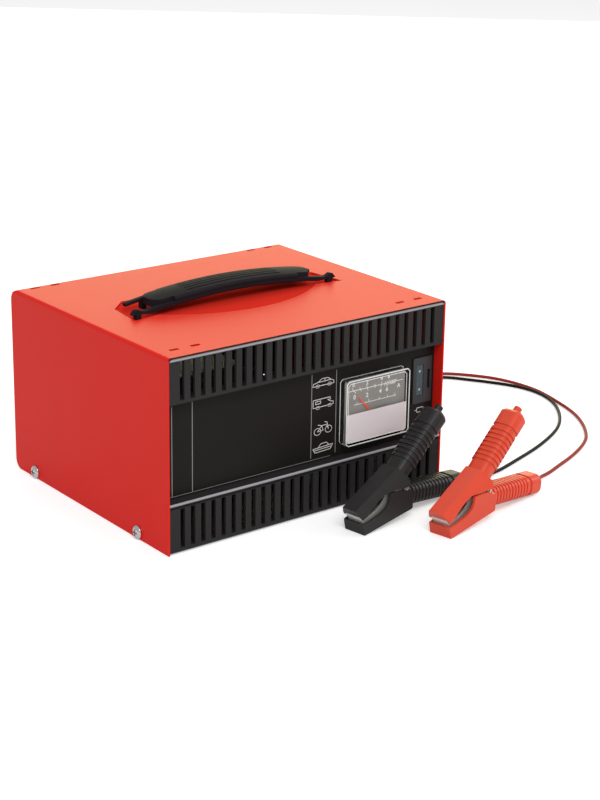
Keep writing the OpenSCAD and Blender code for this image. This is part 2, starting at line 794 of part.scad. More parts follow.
module fuse_holder() color("#3A3838") {
    difference() {
        union() {
            slab([fuse_x - 5.3, holder_y, fuse_z - holder_h / 2],
                [fuse_x - 5.3 + holder_w, label_y, fuse_z + holder_h / 2]);
            slab([fuse_x - 4.4, holder_y, fuse_z - 11.4], [fuse_x + 8.4, holder_back, fuse_z + 11.4]);
        }
        slab([fuse_x - fuse_t / 2 - fit, holder_y - past, fuse_z - fuse_l / 2 - fit],
             [fuse_x + fuse_t / 2 + fit, fuse_y + fuse_deep + fit, fuse_z + fuse_l / 2 + fit]);
        slab([fuse_x + 6, holder_y - past, fuse_z - 6], [fuse_x + 8, holder_y + 6, fuse_z + 6]);
        for (s = [-1, 1])
            slab([fuse_x - 1.6, fuse_y + fuse_deep, fuse_z + s * blade_z - 3.2],
                [fuse_x + 1.6, holder_back + past, fuse_z + s * blade_z + 3.2]);
    }
}

module fuse_contacts() color("#C9C3B0") {
    back = fuse_y + fuse_deep + blade_l + 1;
    for (s = [-1, 1]) translate([fuse_x, 0, fuse_z + s * blade_z]) {
        difference() {
            slab([-1.5, fuse_y + fuse_deep + 0.6, -3], [1.5, back + 1, 3]);
            slab([-blade_t / 2 - 0.05, fuse_y + fuse_deep, -3 - past],
                [blade_t / 2 + 0.05, back, 3 + past]);
        }
        slab([-0.4, back + 0.5, -2.4], [0.4, holder_back + 7, 2.4]);
    }
}

module fuse_body() color("#3B6B80") {
    difference() {
        slab([fuse_x - fuse_t / 2, fuse_y, fuse_z - fuse_l / 2],
            [fuse_x + fuse_t / 2, fuse_y + fuse_deep, fuse_z + fuse_l / 2]);
        for (s = [-1, 1])
            slab([fuse_x - blade_t / 2, fuse_y + 1.2, fuse_z + s * blade_z - blade_w / 2],
                 [fuse_x + blade_t / 2, fuse_y + fuse_deep + past, fuse_z + s * blade_z + blade_w / 2]);
        for (s = [-1, 1]) translate([fuse_x, fuse_y - past, fuse_z + s * 5.8]) rotate([-90, 0,
            0]) cylinder(d = 1.6, h = past + 1.2);
    }
}

module fuse_blades() color("#BFC3C6") {
    for (s = [-1, 1])
        slab([fuse_x - blade_t / 2, fuse_y + 1.2, fuse_z + s * blade_z - blade_w / 2],
             [fuse_x + blade_t / 2, fuse_y + fuse_deep + blade_l, fuse_z + s * blade_z + blade_w / 2]);
}

// ---------------------------------------------------------------- transformer

module core_place() translate([core_x, core_y, 0]) children();

module transformer_core() color("#6E6B68") core_place() {
    difference() {
        slab([-core_w / 2, -core_d / 2, core_z], [core_w / 2, core_d / 2, core_z + core_h]);
        for (s = [-1, 1]) translate([s * (core_leg + yoke) / 2, 0, window_z + window_h / 2])
            cube([yoke, core_d + 2 * past, window_h], center = true);
    }
}

// Ring round the core's middle leg, between two distances from the leg
module leg_ring(g0, g1, z0, z1) {
    translate([0, 0, z0]) linear_extrude(z1 - z0) difference() {
        round_rect(core_leg + 2 * g1, core_d + 2 * g1, min(g1, 4));
        square([core_leg + 2 * g0, core_d + 2 * g0], center = true);
    }
}

module transformer_bobbin() color("#E9E4D6") core_place() {
    z0 = window_z + fit;
    z1 = window_z + window_h - fit;
    leg_ring(fit, fit + bobbin_wall, z0, z1);
    for (z = [z0, z1 - 1.5]) leg_ring(fit, bobbin_x - core_leg / 2, z, z + 1.5);
}

module primary_winding() color("#B5683A") core_place()
    leg_ring(fit + bobbin_wall + 0.1, yoke / 2 + 0.4, window_z + fit + 1.6,
        window_z + window_h - fit - 1.6);

module secondary_winding() color("#C47A3F") core_place()
    leg_ring(yoke / 2 + 0.7, yoke - 0.6, window_z + fit + 1.6, window_z + window_h - fit - 1.6);

module transformer_bracket() color("#C4C7C9") core_place() difference() {
    union() {
        slab([-core_w / 2 - 1.5, -core_d / 2 + 4, core_z + core_h],
            [core_w / 2 + 1.5, core_d / 2 - 4, core_z + core_h + 1.5]);
        for (s = [-1, 1]) {
            translate([s * (core_w / 2 + 0.75), 0, core_z + core_h / 2]) cube([1.5, core_d - 8, core_h],
                center = true);
            translate([s * (core_w / 2 + 7), 0, core_z + 0.75]) cube([14, core_d - 8, 1.5], center = true);
        }
    }
    for (x = [-1, 1], y = [-12, 12]) translate([x * (core_w / 2 + 8), y, 0]) cylinder(d = 4.3,
        h = core_z + 3);
}

module transformer_bolts() color("#D0D2D3") core_place()
    for (x = [-1, 1], y = [-12, 12]) translate([x * (core_w / 2 + 8), y, 0]) {
        translate([0, 0, 0.2]) cylinder(d = 4, h = 9);
        translate([0, 0, core_z + 1.5]) cylinder(d = 8, h = 3.2, $fn = 6);
    }

// ---------------------------------------------------------------- electronics

module rectifier_heatsink() color("#B4B8BB") translate([heatsink_c.x, heatsink_c.y, tray_t]) {
    difference() {
        slab([-heatsink_l / 2, -heatsink_w / 2, 0], [heatsink_l / 2, heatsink_w / 2, plate_t]);
        translate([0, 0, -past]) cylinder(d = 4.2, h = plate_t + 2 * past);
    }
    for (s = [-1, 1], k = [0 : 2]) {
        x = s * (heatsink_l / 2 - 1 - 4 * k);
        slab([x - 1, -heatsink_w / 2, 0], [x + 1, heatsink_w / 2, plate_t + fin_h]);
    }
}

module bridge_rectifier() color("#2A2A2C") translate([heatsink_c.x, heatsink_c.y, tray_t + plate_t]) {
    difference() {
        linear_extrude(rect_h) round_rect(rect_side, rect_side, 1.5);
        translate([0, 0, -past]) cylinder(d = 5, h = rect_h + 2 * past);
    }
    for (x = [-1, 1], y = [-1, 1]) translate([x * (rect_side / 2 - 5), y * (rect_side / 2 - 5),
        rect_h + 2.5])
        cube([0.8, 6.3, 5], center = true);
}

module thermal_cutout() color("#D8D4C8") translate([core_x + core_w / 2 + 10, core_y + core_d / 2 + 16,
    tray_t]) {
    cylinder(d = 14, h = 6);
    translate([0, 0, 6]) cylinder(d = 7, h = 3);
    for (s = [-1, 1]) slab([s * 5 - 0.4, -1.5, 5], [s * 5 + 0.4, 1.5, 14]);
}

module board_holes(d, h) {
    for (x = [-1, 1], y = [-1, 1])
        translate([board_c.x + x * (board_l / 2 - hole_inset),
            board_c.y + y * (board_w / 2 - hole_inset), 0])
            cylinder(d = d, h = h);
}

module control_board() color("#2F6B3F") difference() {
    slab([board_c.x - board_l / 2, board_c.y - board_w / 2, board_z],
        [board_c.x + board_l / 2, board_c.y + board_w / 2, board_top]);
    translate([0, 0, board_z - past]) board_holes(3.4, board_t + 2 * past);
}

module board_standoffs() color("#C8CBCD") difference() {
    translate([0, 0, tray_t]) board_holes(6, board_z - tray_t);
    translate([0, 0, board_z - 8]) board_holes(3.1, 8 + past);
}

module m3_screws() color("#D0D2D3") {
    translate([0, 0, board_z - 6]) board_holes(2.95, board_top - board_z + 6.5);
    translate([0, 0, board_top]) board_holes(5.6, 2);
    translate([heatsink_c.x, heatsink_c.y, tray_t + 0.2]) cylinder(d = 4, h = plate_t + rect_h + 1);
    translate([heatsink_c.x, heatsink_c.y, tray_t + plate_t + rect_h]) cylinder(d = 8, h = 2.4);
}

// Thyristor on its own cooling fin
module board_thyristor() color("#3A3A3C") translate([board_c.x + board_l / 2 - 14, board_c.y - 8,
    board_top]) {
    slab([-5, 0, 2], [5, 4.4, 12]);
    slab([-5, 4.4, 2], [5, 5.6, 20]);
    for (x = [-2.5, 0, 2.5]) slab([x - 0.4, 2, 0], [x + 0.4, 2.5, 2.2]);
    slab([-9, 5.6, 0], [9, 7.2, 22]);
}

// Capacitor, trimmer, resistors and the driver chip
module board_components() color("#394A63") translate([board_c.x, board_c.y, board_top]) {
    translate([-20, 10, 0]) cylinder(d = 10, h = 16);
    translate([-6, 12, 0]) cylinder(d = 6.3, h = 11);
    slab([-22, -14, 0], [-12, -4, 6]);
    slab([-6, -8, 0], [4, -1.5, 3.8]);
    for (k = [0 : 3]) translate([9 + 3.4 * k, 8, 0]) cube([2.4, 7, 2.4]);
}

module terminal_block() color("#E8E6DF") translate([block_c.x, block_c.y, tray_t]) {
    difference() {
        translate([0, 0, block_size.z / 2]) cube(block_size, center = true);
        for (k = [-1 : 1]) {
            translate([9 * k, 0, block_size.z - 6]) cylinder(d = 5, h = 7);
            rod_y(9 * k, 6, 1.8, 1, block_size.y / 2 + past);
        }
    }
}

// ---------------------------------------------------------------- wiring inside

wire_r = 1.2;
bobbin_top = window_z + window_h - fit;
block_in = tray_t + 6;
tab_top = tray_t + plate_t + rect_h + 5;
stud_end = case_back + 10;
tab_end = holder_back + 7;
pin_y = core_y + core_d / 2 + 10;

module mains_wires() color("#5A4632") {
    for (s = [0, 1]) {
        x0 = block_c.x - 9 + 9 * s;
        y0 = block_c.y - block_size.y / 2;
        x1 = core_x - 10 + 6 * s;
        tube([
            [x0, y0, block_in], [x0, y0 - 4, block_in + 0.5], [x0, y0 - 7, block_in + 5],
                [x0 + 1, y0 - 8, 24], [x0 + 4, y0 - 8, 44],
            [x1 - 5, y0 - 8, bobbin_top + 5], [x1 - 1, pin_y + 4, bobbin_top + 10],
                [x1, pin_y, bobbin_top + 7], [x1, pin_y, bobbin_top]
        ], wire_r, 6);
    }
}

module secondary_wires() color("#D9C23A") {
    for (s = [0, 1]) {
        x1 = core_x + 2 + 9 * s;
        x2 = heatsink_c.x + (s - 0.5) * (rect_side - 10);
        y2 = heatsink_c.y + rect_side / 2 - 5;
        tube([
            [x1, pin_y, bobbin_top], [x1, pin_y, bobbin_top + 6], [x1 + 4, pin_y + 2, bobbin_top + 10],
            [x1 + 22, heatsink_c.y + 4, bobbin_top + 4 + 4 * s],
            [core_x + core_w / 2 + 16 + 10 * s, heatsink_c.y + 9, 44], [x2 - 16, y2, 34.5],
                [x2 - 5, y2, 31.5],
            [x2, y2, 26], [x2, y2, tab_top]
        ], wire_r, 6);
    }
}

module output_wires() color("#B03A33") {
    x3 = heatsink_c.x + rect_side / 2 - 5;
    x4 = heatsink_c.x - rect_side / 2 + 5;
    y3 = heatsink_c.y - rect_side / 2 + 5;
    // Rectifier to the fuse
    tube([
        [x3, y3, tab_top], [x3, y3, tab_top + 8], [x3 + 3, y3 - 8, 46],
        [fuse_x - 2, heatsink_c.y - 38, meter_z + 5],
        [fuse_x, heatsink_c.y - 58, fuse_z + blade_z + 1], [fuse_x, tab_end + 8, fuse_z + blade_z],
            [fuse_x, tab_end, fuse_z + blade_z]
    ], wire_r, 6);
    // Fuse to the ammeter
    tube([
        [fuse_x, tab_end, fuse_z - blade_z], [fuse_x, tab_end + 6, fuse_z - blade_z],
            [fuse_x - 8, tab_end + 14, meter_z + 1],
        [meter_x + 18, stud_end + 12, meter_z], [meter_x + 10, stud_end + 7, meter_z],
            [meter_x + 10, stud_end, meter_z]
    ], wire_r, 6);
    // Ammeter to the red lead
    tube([
        [meter_x - 10, stud_end, meter_z], [meter_x - 10, stud_end + 7, meter_z],
            [meter_x - 8, heatsink_c.y - 58, meter_z],
        [meter_x - 2, heatsink_c.y - 30, meter_z - 5], [gland_x + 1, rear_y - 39, gland_z + 4],
        [gland_x + exit_gap / 2, rear_y - 27, gland_z],
        [gland_x + exit_gap / 2, rear_inner - 6, gland_z]
    ], wire_r, 6);
    // Rectifier to the black lead
    tube([
        [x4, y3, tab_top], [x4, y3, tab_top + 9], [x4 + 1, y3 + 8, 36],
        [gland_x - exit_gap / 2, rear_y - 27, gland_z],
        [gland_x - exit_gap / 2, rear_inner - 6, gland_z]
    ], wire_r, 6);
}

// ---------------------------------------------------------------- clamps

// Outlines in the clamp's own X and Z
lower_side = [[0, 0], [37.6, 6.6], [38.4, 7.4], [38.4, 17.6], [35.6, 17.6], [33.2, 19.2], [31, 20],
    [24, 20.2], [20, 19.9], [19.5, 17], [18.2, 13.8], [15.5, 11.6], [11.7, 9.8], [4.2, 7.7], [-1.7, 6.7]];
lower_hollow = [[1.4, 1.8], [36.9, 8.2], [36.9, 30], [-10, 30], [-10, 8.6], [-0.7, 8.6]];
upper_side = [[-1.4, 9.8], [-5.8, 15.6], [30, 32.7], [36, 26], [36.4, 21.3], [31, 21.1], [18.6, 20.8],
    [12, 18], [6.7, 14.9], [2, 11.4]];
upper_hollow = [[-0.2, 6], [-4, 14.7], [29.6, 30.7], [34, 25.6], [37.5, 21.4], [38, 10], [10, 6]];
lower_jaw_side = [
    [1.6, 2.1], [36.7, 8.5], [36.7, 13], [35.4, 17.4], [30, 17.2], [24, 20], [20.6, 19.6], [19.2, 17.6],
        [18, 15.6], [15.5, 13.5], [12, 11.7], [8, 10.4],
    [6.6, 9.6], [5.6, 10.3], [4.4, 9.2], [3.2, 9.8], [2, 8.6], [1, 9.2], [-0.4, 8.3]
];
lower_jaw_hollow = [[2.6, 3.4], [40, 10.2], [40, 30], [-10, 30], [-10, 10], [0.8, 10]];
upper_jaw_side = [
    [-1, 8.7], [-3.8, 14.5], [29.4, 30.4], [33.4, 25.8], [35.6, 23], [31, 19.2], [27, 19.2],
        [22.3, 21.2], [12, 18.4], [6.4, 14.6],
    [5.6, 11], [4.4, 11.5], [3.2, 10.2], [2, 10.6], [1, 9.6], [0.2, 9.9]
];
upper_jaw_hollow = [[0.2, 6], [-2.5, 14], [29, 29.1], [31.2, 27], [36, 30], [40, 22], [40, 6]];

// Half width of a clamp at x, drawn in by g
function clamp_half(x, g) = clamp_tip_w / 2 - g + (clamp_heel_w - clamp_tip_w) / 2 * (x + 6) / 42;

module clamp_plan(g) translate([0, 0, -20]) linear_extrude(80) polygon([
    for (x = [-12, 60]) [x, clamp_half(x, g)],
    for (x = [60, -12]) [x, -clamp_half(x, g)]
]);

// Room outside the upper half's sloping sides, which lie g inside the cover's
module sloped_away(g) {
    slope = 0.38;
    widening = (clamp_heel_w - clamp_tip_w) / 84;
    for (s = [0, 1]) mirror([0, s, 0]) multmatrix([
        [1, 0, 0, 0],
        [widening + 0.3 * slope, 1, -slope, clamp_tip_w / 2 + 6 * widening + 11.5 * slope - g],
        [0, 0, 1, 0]
    ]) translate([-20, 0, -10]) cube([100, 40, 70]);
}

module clamp_prism(side, g) intersection() {
    along_y(-20, 20) polygon(side);
    clamp_plan(g);
}

// Plan of a steel jaw: as wide at the tip as the other one, wider or narrower at the pivot
module jaw_plan(tip, heel) translate([0, 0, -20]) linear_extrude(80) polygon([
    [-12, tip - (heel - tip) * 6 / 39], [60, tip + (heel - tip) * 66 / 39],
    [60, -tip - (heel - tip) * 66 / 39], [-12, (heel - tip) * 6 / 39 - tip]
]);

// Ribbed grip along X, from its root collar to its round end
module grip_sleeve(len, collar) {
    cap = 12;
    core = 2 * rib_h;
    first = collar + 1;
    ribs = floor((len - first - cap) / rib_pitch);
    along_x(0, len - cap + 1) round_rect(hand_w - core, hand_t - core, 4.6);
    for (k = [0 : ribs - 1])
        along_x(first + k * rib_pitch, first + k * rib_pitch + rib_pitch * 0.6) round_rect(hand_w,
            hand_t, 5);
    along_x(len - cap, len - 2.5) round_rect(hand_w, hand_t, 5);
    hull() {
        along_x(len - 2.6, len - 2.4) round_rect(hand_w, hand_t, 5, $fn = 32);
        along_x(len - 0.8, len - 0.7) round_rect(hand_w - 2.4, hand_t - 2.4, 3.8, $fn = 32);
        along_x(len - 0.1, len) round_rect(hand_w - 5, hand_t - 5, 2.6, $fn = 32);
    }
}

module lower_grip_frame() translate([lower_root.x, 0, lower_root.y]) rotate([0, -lower_angle,
    0]) children();
module upper_grip_frame() translate([upper_root.x, 0, upper_root.y]) rotate([0, -upper_angle,
    0]) children();

module lower_cover() difference() {
    union() {
        clamp_prism(lower_side, 0);
        lower_grip_frame() translate([1, 0, 0]) grip_sleeve(lower_len - 1, 6);
    }
    clamp_prism(lower_hollow, clamp_wall);
    lower_grip_frame() {
        slab([-2, -tang_w / 2 - 0.3, -4.4], [40, tang_w / 2 + 0.3, 4.4]);
        rod_x(0, 0, lead_r + 0.2, 39, lower_len + past);
    }
}

module upper_cover() {
    difference() {
        union() {
            difference() {
                clamp_prism(upper_side, 0);
                sloped_away(0);
            }
            upper_grip_frame() grip_sleeve(upper_len, 7);
        }
        difference() {
            clamp_prism(upper_hollow, clamp_wall);
            sloped_away(clamp_wall);
        }
        upper_grip_frame() {
            slab([-2, -neck - 0.3, -4.4], [3, neck + 0.3, 4.4]);
            slab([3, -tang_w / 2 - 0.3, -4.4], [32, tang_w / 2 + 0.3, 4.4]);
        }
    }
    upper_grip_frame() rod_x(0, 0, nub_d / 2, upper_len - 0.5, upper_len + nub_l);
}

// Steel channel with its ears round the rivet and its tang along the handle
module jaw(side, hollow, heel, sloped = false) {
    tip = clamp_tip_w / 2 - clamp_wall - 0.3;
    difference() {
        intersection() {
            union() {
                along_y(-20, 20) polygon(side);
                rod_y(pivot.x, pivot.y, ear_r, -20, 20);
            }
            jaw_plan(tip, heel);
        }
        difference() {
            intersection() {
                union() {
                    along_y(-20, 20) polygon(hollow);
                    rod_y(pivot.x, pivot.y, ear_r + 0.6, -20, 20);
                }
                jaw_plan(tip - jaw_t, heel - jaw_t);
            }
            if (sloped) sloped_away(clamp_wall + 0.3 + jaw_t);
        }
        if (sloped) sloped_away(clamp_wall + 0.3);
        rod_y(pivot.x, pivot.y, rivet_r + run_fit, -20, 20);
    }
}

// Channel along the handle's middle; plate is the side that its web lies on
module tang(from, to, plate) {
    z0 = plate * 4.2;
    z1 = plate * (4.2 - jaw_t);
    slab([from, -neck, min(z0, z1)], [3.5, neck, max(z0, z1)]);
    slab([3, -tang_w / 2, min(z0, z1)], [to, tang_w / 2, max(z0, z1)]);
    for (s = [-1, 1]) translate([0, s * (tang_w - jaw_t) / 2, 0])
        slab([6, -jaw_t / 2, min(z0, 0)], [to, jaw_t / 2, max(z0, 0)]);
}

module lower_jaw() {
    // Narrow enough for the sloping sides of the upper jaw's ears at every angle
    heel = clamp_half(pivot.x, clamp_wall) - 2 * jaw_t - 1.05;
    jaw(lower_jaw_side, lower_jaw_hollow, heel);
    lower_grip_frame() {
        tang(1, 34, -1);
        difference() {
            rod_x(0, 0, 2.2, 33, 38.6);
            rod_x(0, 0, lead_r + 0.1, crimp_l, 38.6 + past);
        }
        slab([32, -1.5, -4.2], [37, 1.5, -1.6]);
    }
}

module upper_jaw() {
    heel = clamp_half(pivot.x, clamp_wall) - 0.25;
    jaw(upper_jaw_side, upper_jaw_hollow, heel, true);
    upper_grip_frame() tang(-2, 30, 1);
}

module clamp_rivet() difference() {
    len = clamp_half(pivot.x, clamp_wall) - 0.9;
    rod_y(pivot.x, pivot.y, rivet_r, -len, len);
    rod_y(pivot.x, pivot.y, rivet_r - 0.8, -len - past, len + past);
}

// Torsion spring: a leg along each handle and a wound body round the rivet
spring_r = 3.5;
spring_turns = 4 + 110.4 / 360;
spring_half = 3.7;
function spring_at(a, y) = [pivot.x + spring_r * cos(a), y, pivot.y + spring_r * sin(a)];
function spring_heading(a) = [-sin(a), 0, cos(a)];
function spring_path() = let (steps = round(spring_turns * 8), a0 = 136,
    a1 = 136 + spring_turns * 360) concat(
    [for (l = [27.8, 14, 1.5 * spring_d]) spring_at(a0, spring_half) - l * spring_heading(a0)],
    [for (k = [0 : steps]) spring_at(a0 + (a1 - a0) * k / steps, spring_half * (1 - 2 * k / steps))],
    [for (l = [1.5 * spring_d, 11, 22]) spring_at(a1, -spring_half) + l * spring_heading(a1)]
);
module clamp_spring() {
    echo(str("least gap in a clamp spring: ", self_distance(spring_path(), 6) - spring_d));
    tube(spring_path(), spring_d / 2, 6);
}

module at_red() translate([red_place.x, red_place.y, 0]) rotate([0, 0, red_heading]) children();
module at_black() translate([black_place.x, black_place.y, 0]) rotate([0, 0, black_heading]) children();

module red_lower_cover() color("#E9462E") at_red() lower_cover();
module red_lower_jaw() color("#C9CDD0") at_red() lower_jaw();
module red_upper_cover() color("#E9462E") at_red() upper_cover();
module red_upper_jaw() color("#C9CDD0") at_red() upper_jaw();
module red_rivet() color("#B8BCC0") at_red() clamp_rivet();
module red_spring() color("#9EA2A6") at_red() clamp_spring();
module black_lower_cover() color("#2B2B27") at_black() lower_cover();
module black_lower_jaw() color("#C9CDD0") at_black() lower_jaw();
module black_upper_cover() color("#2B2B27") at_black() upper_cover();
module black_upper_jaw() color("#C9CDD0") at_black() upper_jaw();
module black_rivet() color("#B8BCC0") at_black() clamp_rivet();
module black_spring() color("#9EA2A6") at_black() clamp_spring();

// ---------------------------------------------------------------- leads

// Loops wound in layers: the radius falls and rises by turn_pitch a loop, and
// each layer boundary is crossed in the half loop where the spiral turns back
function ramp(x) = let (c = max(0, min(1, x))) c * c * (3 - 2 * c);
function coil_out(turns) = coil_r + turns / coil_layers * turn_pitch / 2;
function wound(u, per) = let (k = min(coil_layers - 1, floor(u / per)), v = u - k * per)
    coil_r + turn_pitch * (k % 2 == 0 ? per / 2 - v : v - per / 2);
function fallen(u, per, k) = k > coil_layers - 1 ? 0 : ramp((u - k * per + 0.25) / 0.5) + fallen(u, per,
    k + 1);
function wound_at(c, way, a0, u, per) = let (a = a0 + way * 360 * u, r = wound(u, per))
    [c.x + r * cos(a), c.y + r * sin(a), coil_top - turn_pitch * fallen(u, per, 1)];
// Direction of travel at the angle a, way is 1 for anticlockwise
function round_heading(a, way) = way * [-sin(a), cos(a), 0];
function coil_path(c, way, a0, turns) = let (n = round(turns * loop_rings), per = turns / coil_layers,
    a1 = a0 + way * 360 * turns) concat(
    [wound_at(c, way, a0, 0, per) - lead_d * round_heading(a0, way)],
    [for (k = [0 : n]) wound_at(c, way, a0, turns * k / n, per)],
    [wound_at(c, way, a0, turns, per) + lead_d * round_heading(a1, way)]
);

red_turns = 8 + 1 / 3;
black_turns = 8.7;
red_coil_c = [gland_x + exit_gap / 2 + coil_out(red_turns), coil_y];
black_coil_c = [gland_x - exit_gap / 2 - coil_out(black_turns), coil_y];
red_coil = coil_path(red_coil_c, -1, 180, red_turns);
black_coil = coil_path(black_coil_c, 1, 0, black_turns);

// The drop from the gland onto the coil, side view
drop = [[88, 40], [92, 39.4], [96, 37.4], [100, 33.5], [104.5, 27.5], [108.5, 21], [112.5, 15],
    [116.5, 11.3]];
function drop_path(x, coil) = concat(
    [[x, exit_y, gland_z]], [for (p = drop) [x, p.x, p.y]], [coil[0] - [0, 1.5 * lead_d, 0], coil[0]]
);
// A coil's end and the point straight on from it
function leaving(p) = let (e = last(p)) [e, e + 1.5 * lead_d * unit(e - p[len(p) - 2])];

// Points along the floor, from a coil round to its clamp
red_route = [
    [99, 134, 1.5], [117, 123], [137, 111], [158, 99.5], [180, 89], [202, 80], [222, 73],
    [239, 65], [247, 57.5], [254, 48.5], [260.5, 38], [264.8, 26], [267, 13], [267.4, 0], [265.4, -13],
    [262, -26], [258, -39.5], [253, -52], [246, -64.5], [236, -78], [224, -90], [209, -99.5], [192, -107.5],
    [176, -113.5], [161, -119], [150.2, -122.9, 2.2], [143, -127.7, 3.8]
];
black_route = [
    [48, 105.5, 1.5], [66, 99.5], [88, 95], [112, 91.5], [136, 88.5], [160, 84.5], [182, 79], [202, 73],
    [220, 66], [234, 58], [244.5, 44], [253, 31], [259.5, 19], [263.6, 7], [264.4, -5], [262, -17],
    [256.4, -29.5], [248, -41.5], [238, -52.5], [227.5, -61.5], [214, -70], [189, -81.5], [161, -91],
        [137, -98],
    [118, -101.5, 2.6]
];
function on_floor(route) = [for (p = route) [p.x, p.y, len(p) > 2 ? p.z : lay_z]];

// The end of a lead in its clamp: from the crimp out along the handle
function grip_axis(place, heading, l) = let (x = lower_root.x + l * cos(lower_angle)) [
    place.x + x * cos(heading), place.y + x * sin(heading), lower_root.y + l * sin(lower_angle)
];
function in_clamp(place, heading) = [for (l = [lower_len + 4, lower_len + 1, lower_len - 10,
    crimp_l]) grip_axis(place, heading, l)];
function last(p) = p[len(p) - 1];

module red_lead() color("#8E3A35") {
    tube(drop_path(gland_x + exit_gap / 2, red_coil), lead_r, 8);
    tube(concat(leaving(red_coil), on_floor(red_route), in_clamp(red_place, red_heading)), lead_r, 8);
}

module black_lead() color("#1A1A1A") {
    tube(drop_path(gland_x - exit_gap / 2, black_coil), lead_r, 8);
    tube(concat(leaving(black_coil), on_floor(black_route), in_clamp(black_place, black_heading)),
        lead_r, 8);
}

module red_lead_coil() color("#8E3A35") {
    echo(str("least gap in the red coil: ", self_distance(red_coil, loop_rings / 2) - lead_d));
    tube(red_coil, lead_r, 6);
}

module black_lead_coil() color("#1A1A1A") {
    echo(str("least gap in the black coil: ", self_distance(black_coil, loop_rings / 2) - lead_d));
    tube(black_coil, lead_r, 6);
}

// Flat ties closed round the bundled turns
module coil_ties() color("#3A3A3A") {
    for (c = [[red_coil_c, 0, red_turns], [red_coil_c, 120, red_turns], [black_coil_c, 60, black_turns],
        [black_coil_c, 180, black_turns]]) {
        spread = coil_out(c[2]) - coil_r + lead_r + 0.3;
        translate([c[0].x, c[0].y, 0]) rotate([0, 0, c[1]]) translate([coil_r, 0, 0]) difference() {
            slab([-spread - tie_t, -1.8, 0.05], [spread + tie_t, 1.8, coil_top + lead_r + 0.3 + tie_t]);
            slab([-spread, -1.8 - past, tie_t + 0.05], [spread, 1.8 + past, coil_top + lead_r + 0.3]);
        }
    }
}

cover_shell();
base_tray();
front_panel();
rear_panel();
front_label();
cover_screws();
mains_gland();
lead_gland();
handle_grip();
handle_straps();
meter_case();
meter_cover();
meter_dial();
meter_screen();
meter_coil();
meter_bridge();
meter_studs();
meter_hairspring();
meter_pointer();
meter_spindle();
fuse_holder();
fuse_contacts();
fuse_body();
fuse_blades();
transformer_core();
transformer_bobbin();
primary_winding();
secondary_winding();
transformer_bracket();
transformer_bolts();
rectifier_heatsink();
bridge_rectifier();
thermal_cutout();
control_board();
board_thyristor();
board_components();
board_standoffs();
m3_screws();
terminal_block();
mains_wires();
secondary_wires();
output_wires();
red_lower_cover();
red_lower_jaw();
red_upper_cover();
red_upper_jaw();
red_rivet();
red_spring();
black_lower_cover();
black_lower_jaw();
black_upper_cover();
black_upper_jaw();
black_rivet();
black_spring();
red_lead();
red_lead_coil();
black_lead();
black_lead_coil();
coil_ties();
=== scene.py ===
"""Looks of a car battery charger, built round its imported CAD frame.

The charger is a folded, powder-coated steel case between two moulded grille
panels. An ammeter and a blade fuse stand in the front label, a moulded grip
lies on two straps in a pressed recess, and two leads run from the rear gland
through their tied coils to sprung clamps.

Lengths in the classes are millimetres in the row frame: the origin is at the
middle of the case's base, +X to the right seen from the front, -Y to the
front and +Z up. Meshes are written in metres.
"""

from __future__ import annotations

import logging
import math
from collections.abc import Callable, Sequence
from dataclasses import dataclass
from enum import Enum

import bmesh
import bpy
from mathutils import Matrix, Vector

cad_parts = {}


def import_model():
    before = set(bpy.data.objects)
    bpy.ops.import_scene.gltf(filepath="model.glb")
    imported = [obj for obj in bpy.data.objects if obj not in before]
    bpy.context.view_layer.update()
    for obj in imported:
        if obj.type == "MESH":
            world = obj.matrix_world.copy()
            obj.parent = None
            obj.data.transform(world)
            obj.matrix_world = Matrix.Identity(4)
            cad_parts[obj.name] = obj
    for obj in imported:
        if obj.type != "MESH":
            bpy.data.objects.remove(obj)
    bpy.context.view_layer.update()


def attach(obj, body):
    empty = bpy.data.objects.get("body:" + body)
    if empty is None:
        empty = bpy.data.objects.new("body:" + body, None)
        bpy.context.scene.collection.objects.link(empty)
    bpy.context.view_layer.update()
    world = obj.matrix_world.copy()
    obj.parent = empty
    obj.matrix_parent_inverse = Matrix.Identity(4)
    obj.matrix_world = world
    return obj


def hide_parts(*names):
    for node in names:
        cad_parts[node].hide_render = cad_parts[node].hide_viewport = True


LOG = logging.getLogger("charger")
MM = 0.001
Point = tuple[float, float, float]
Flat = tuple[float, float]


class Body(Enum):
    """The rigid bodies that pieces ride on."""

    CHARGER = "charger"
    HANDLE = "handle"
    FUSE = "fuse"
    RED_UPPER = "red_clamp_upper"
    BLACK_UPPER = "black_clamp_upper"


# --- Finishes ---

def linear(code: str, alpha: float = 1.0) -> tuple[float, float, float, float]:
    """Turn an sRGB hex colour into linear RGBA.

    Args:
        code: Colour as six hex digits, with or without a leading hash.
        alpha: Opacity put in the fourth place.

    Returns:
        Linear red, green and blue with the opacity.
    """
    digits = code.lstrip("#")
    parts = [int(digits[i : i + 2], 16) / 255 for i in (0, 2, 4)]
    red, green, blue = (c / 12.92 if c <= 0.04045 else ((c + 0.055) / 1.055) ** 2.4 for c in parts)
    return red, green, blue, alpha


def add_node(
    tree: bpy.types.NodeTree,
    kind: str,
    settings: dict[str, object] | None = None,
    links: dict[str | int, bpy.types.NodeSocket] | None = None,
) -> bpy.types.Node:
    """Add a node, set its values and link what feeds it.

    Args:
        tree: Node tree that gets the node.
        kind: Blender's type name of the node.
        settings: Values by the name of an input socket or of a property.
        links: Output sockets by the name or number of the input they feed.

    Returns:
        The new node.
    """
    node = tree.nodes.new(kind)
    for key, value in (settings or {}).items():
        if key in node.inputs:
            node.inputs[key].default_value = value
        else:
            setattr(node, key, value)
    for key, source in (links or {}).items():
        tree.links.new(source, node.inputs[key])
    return node


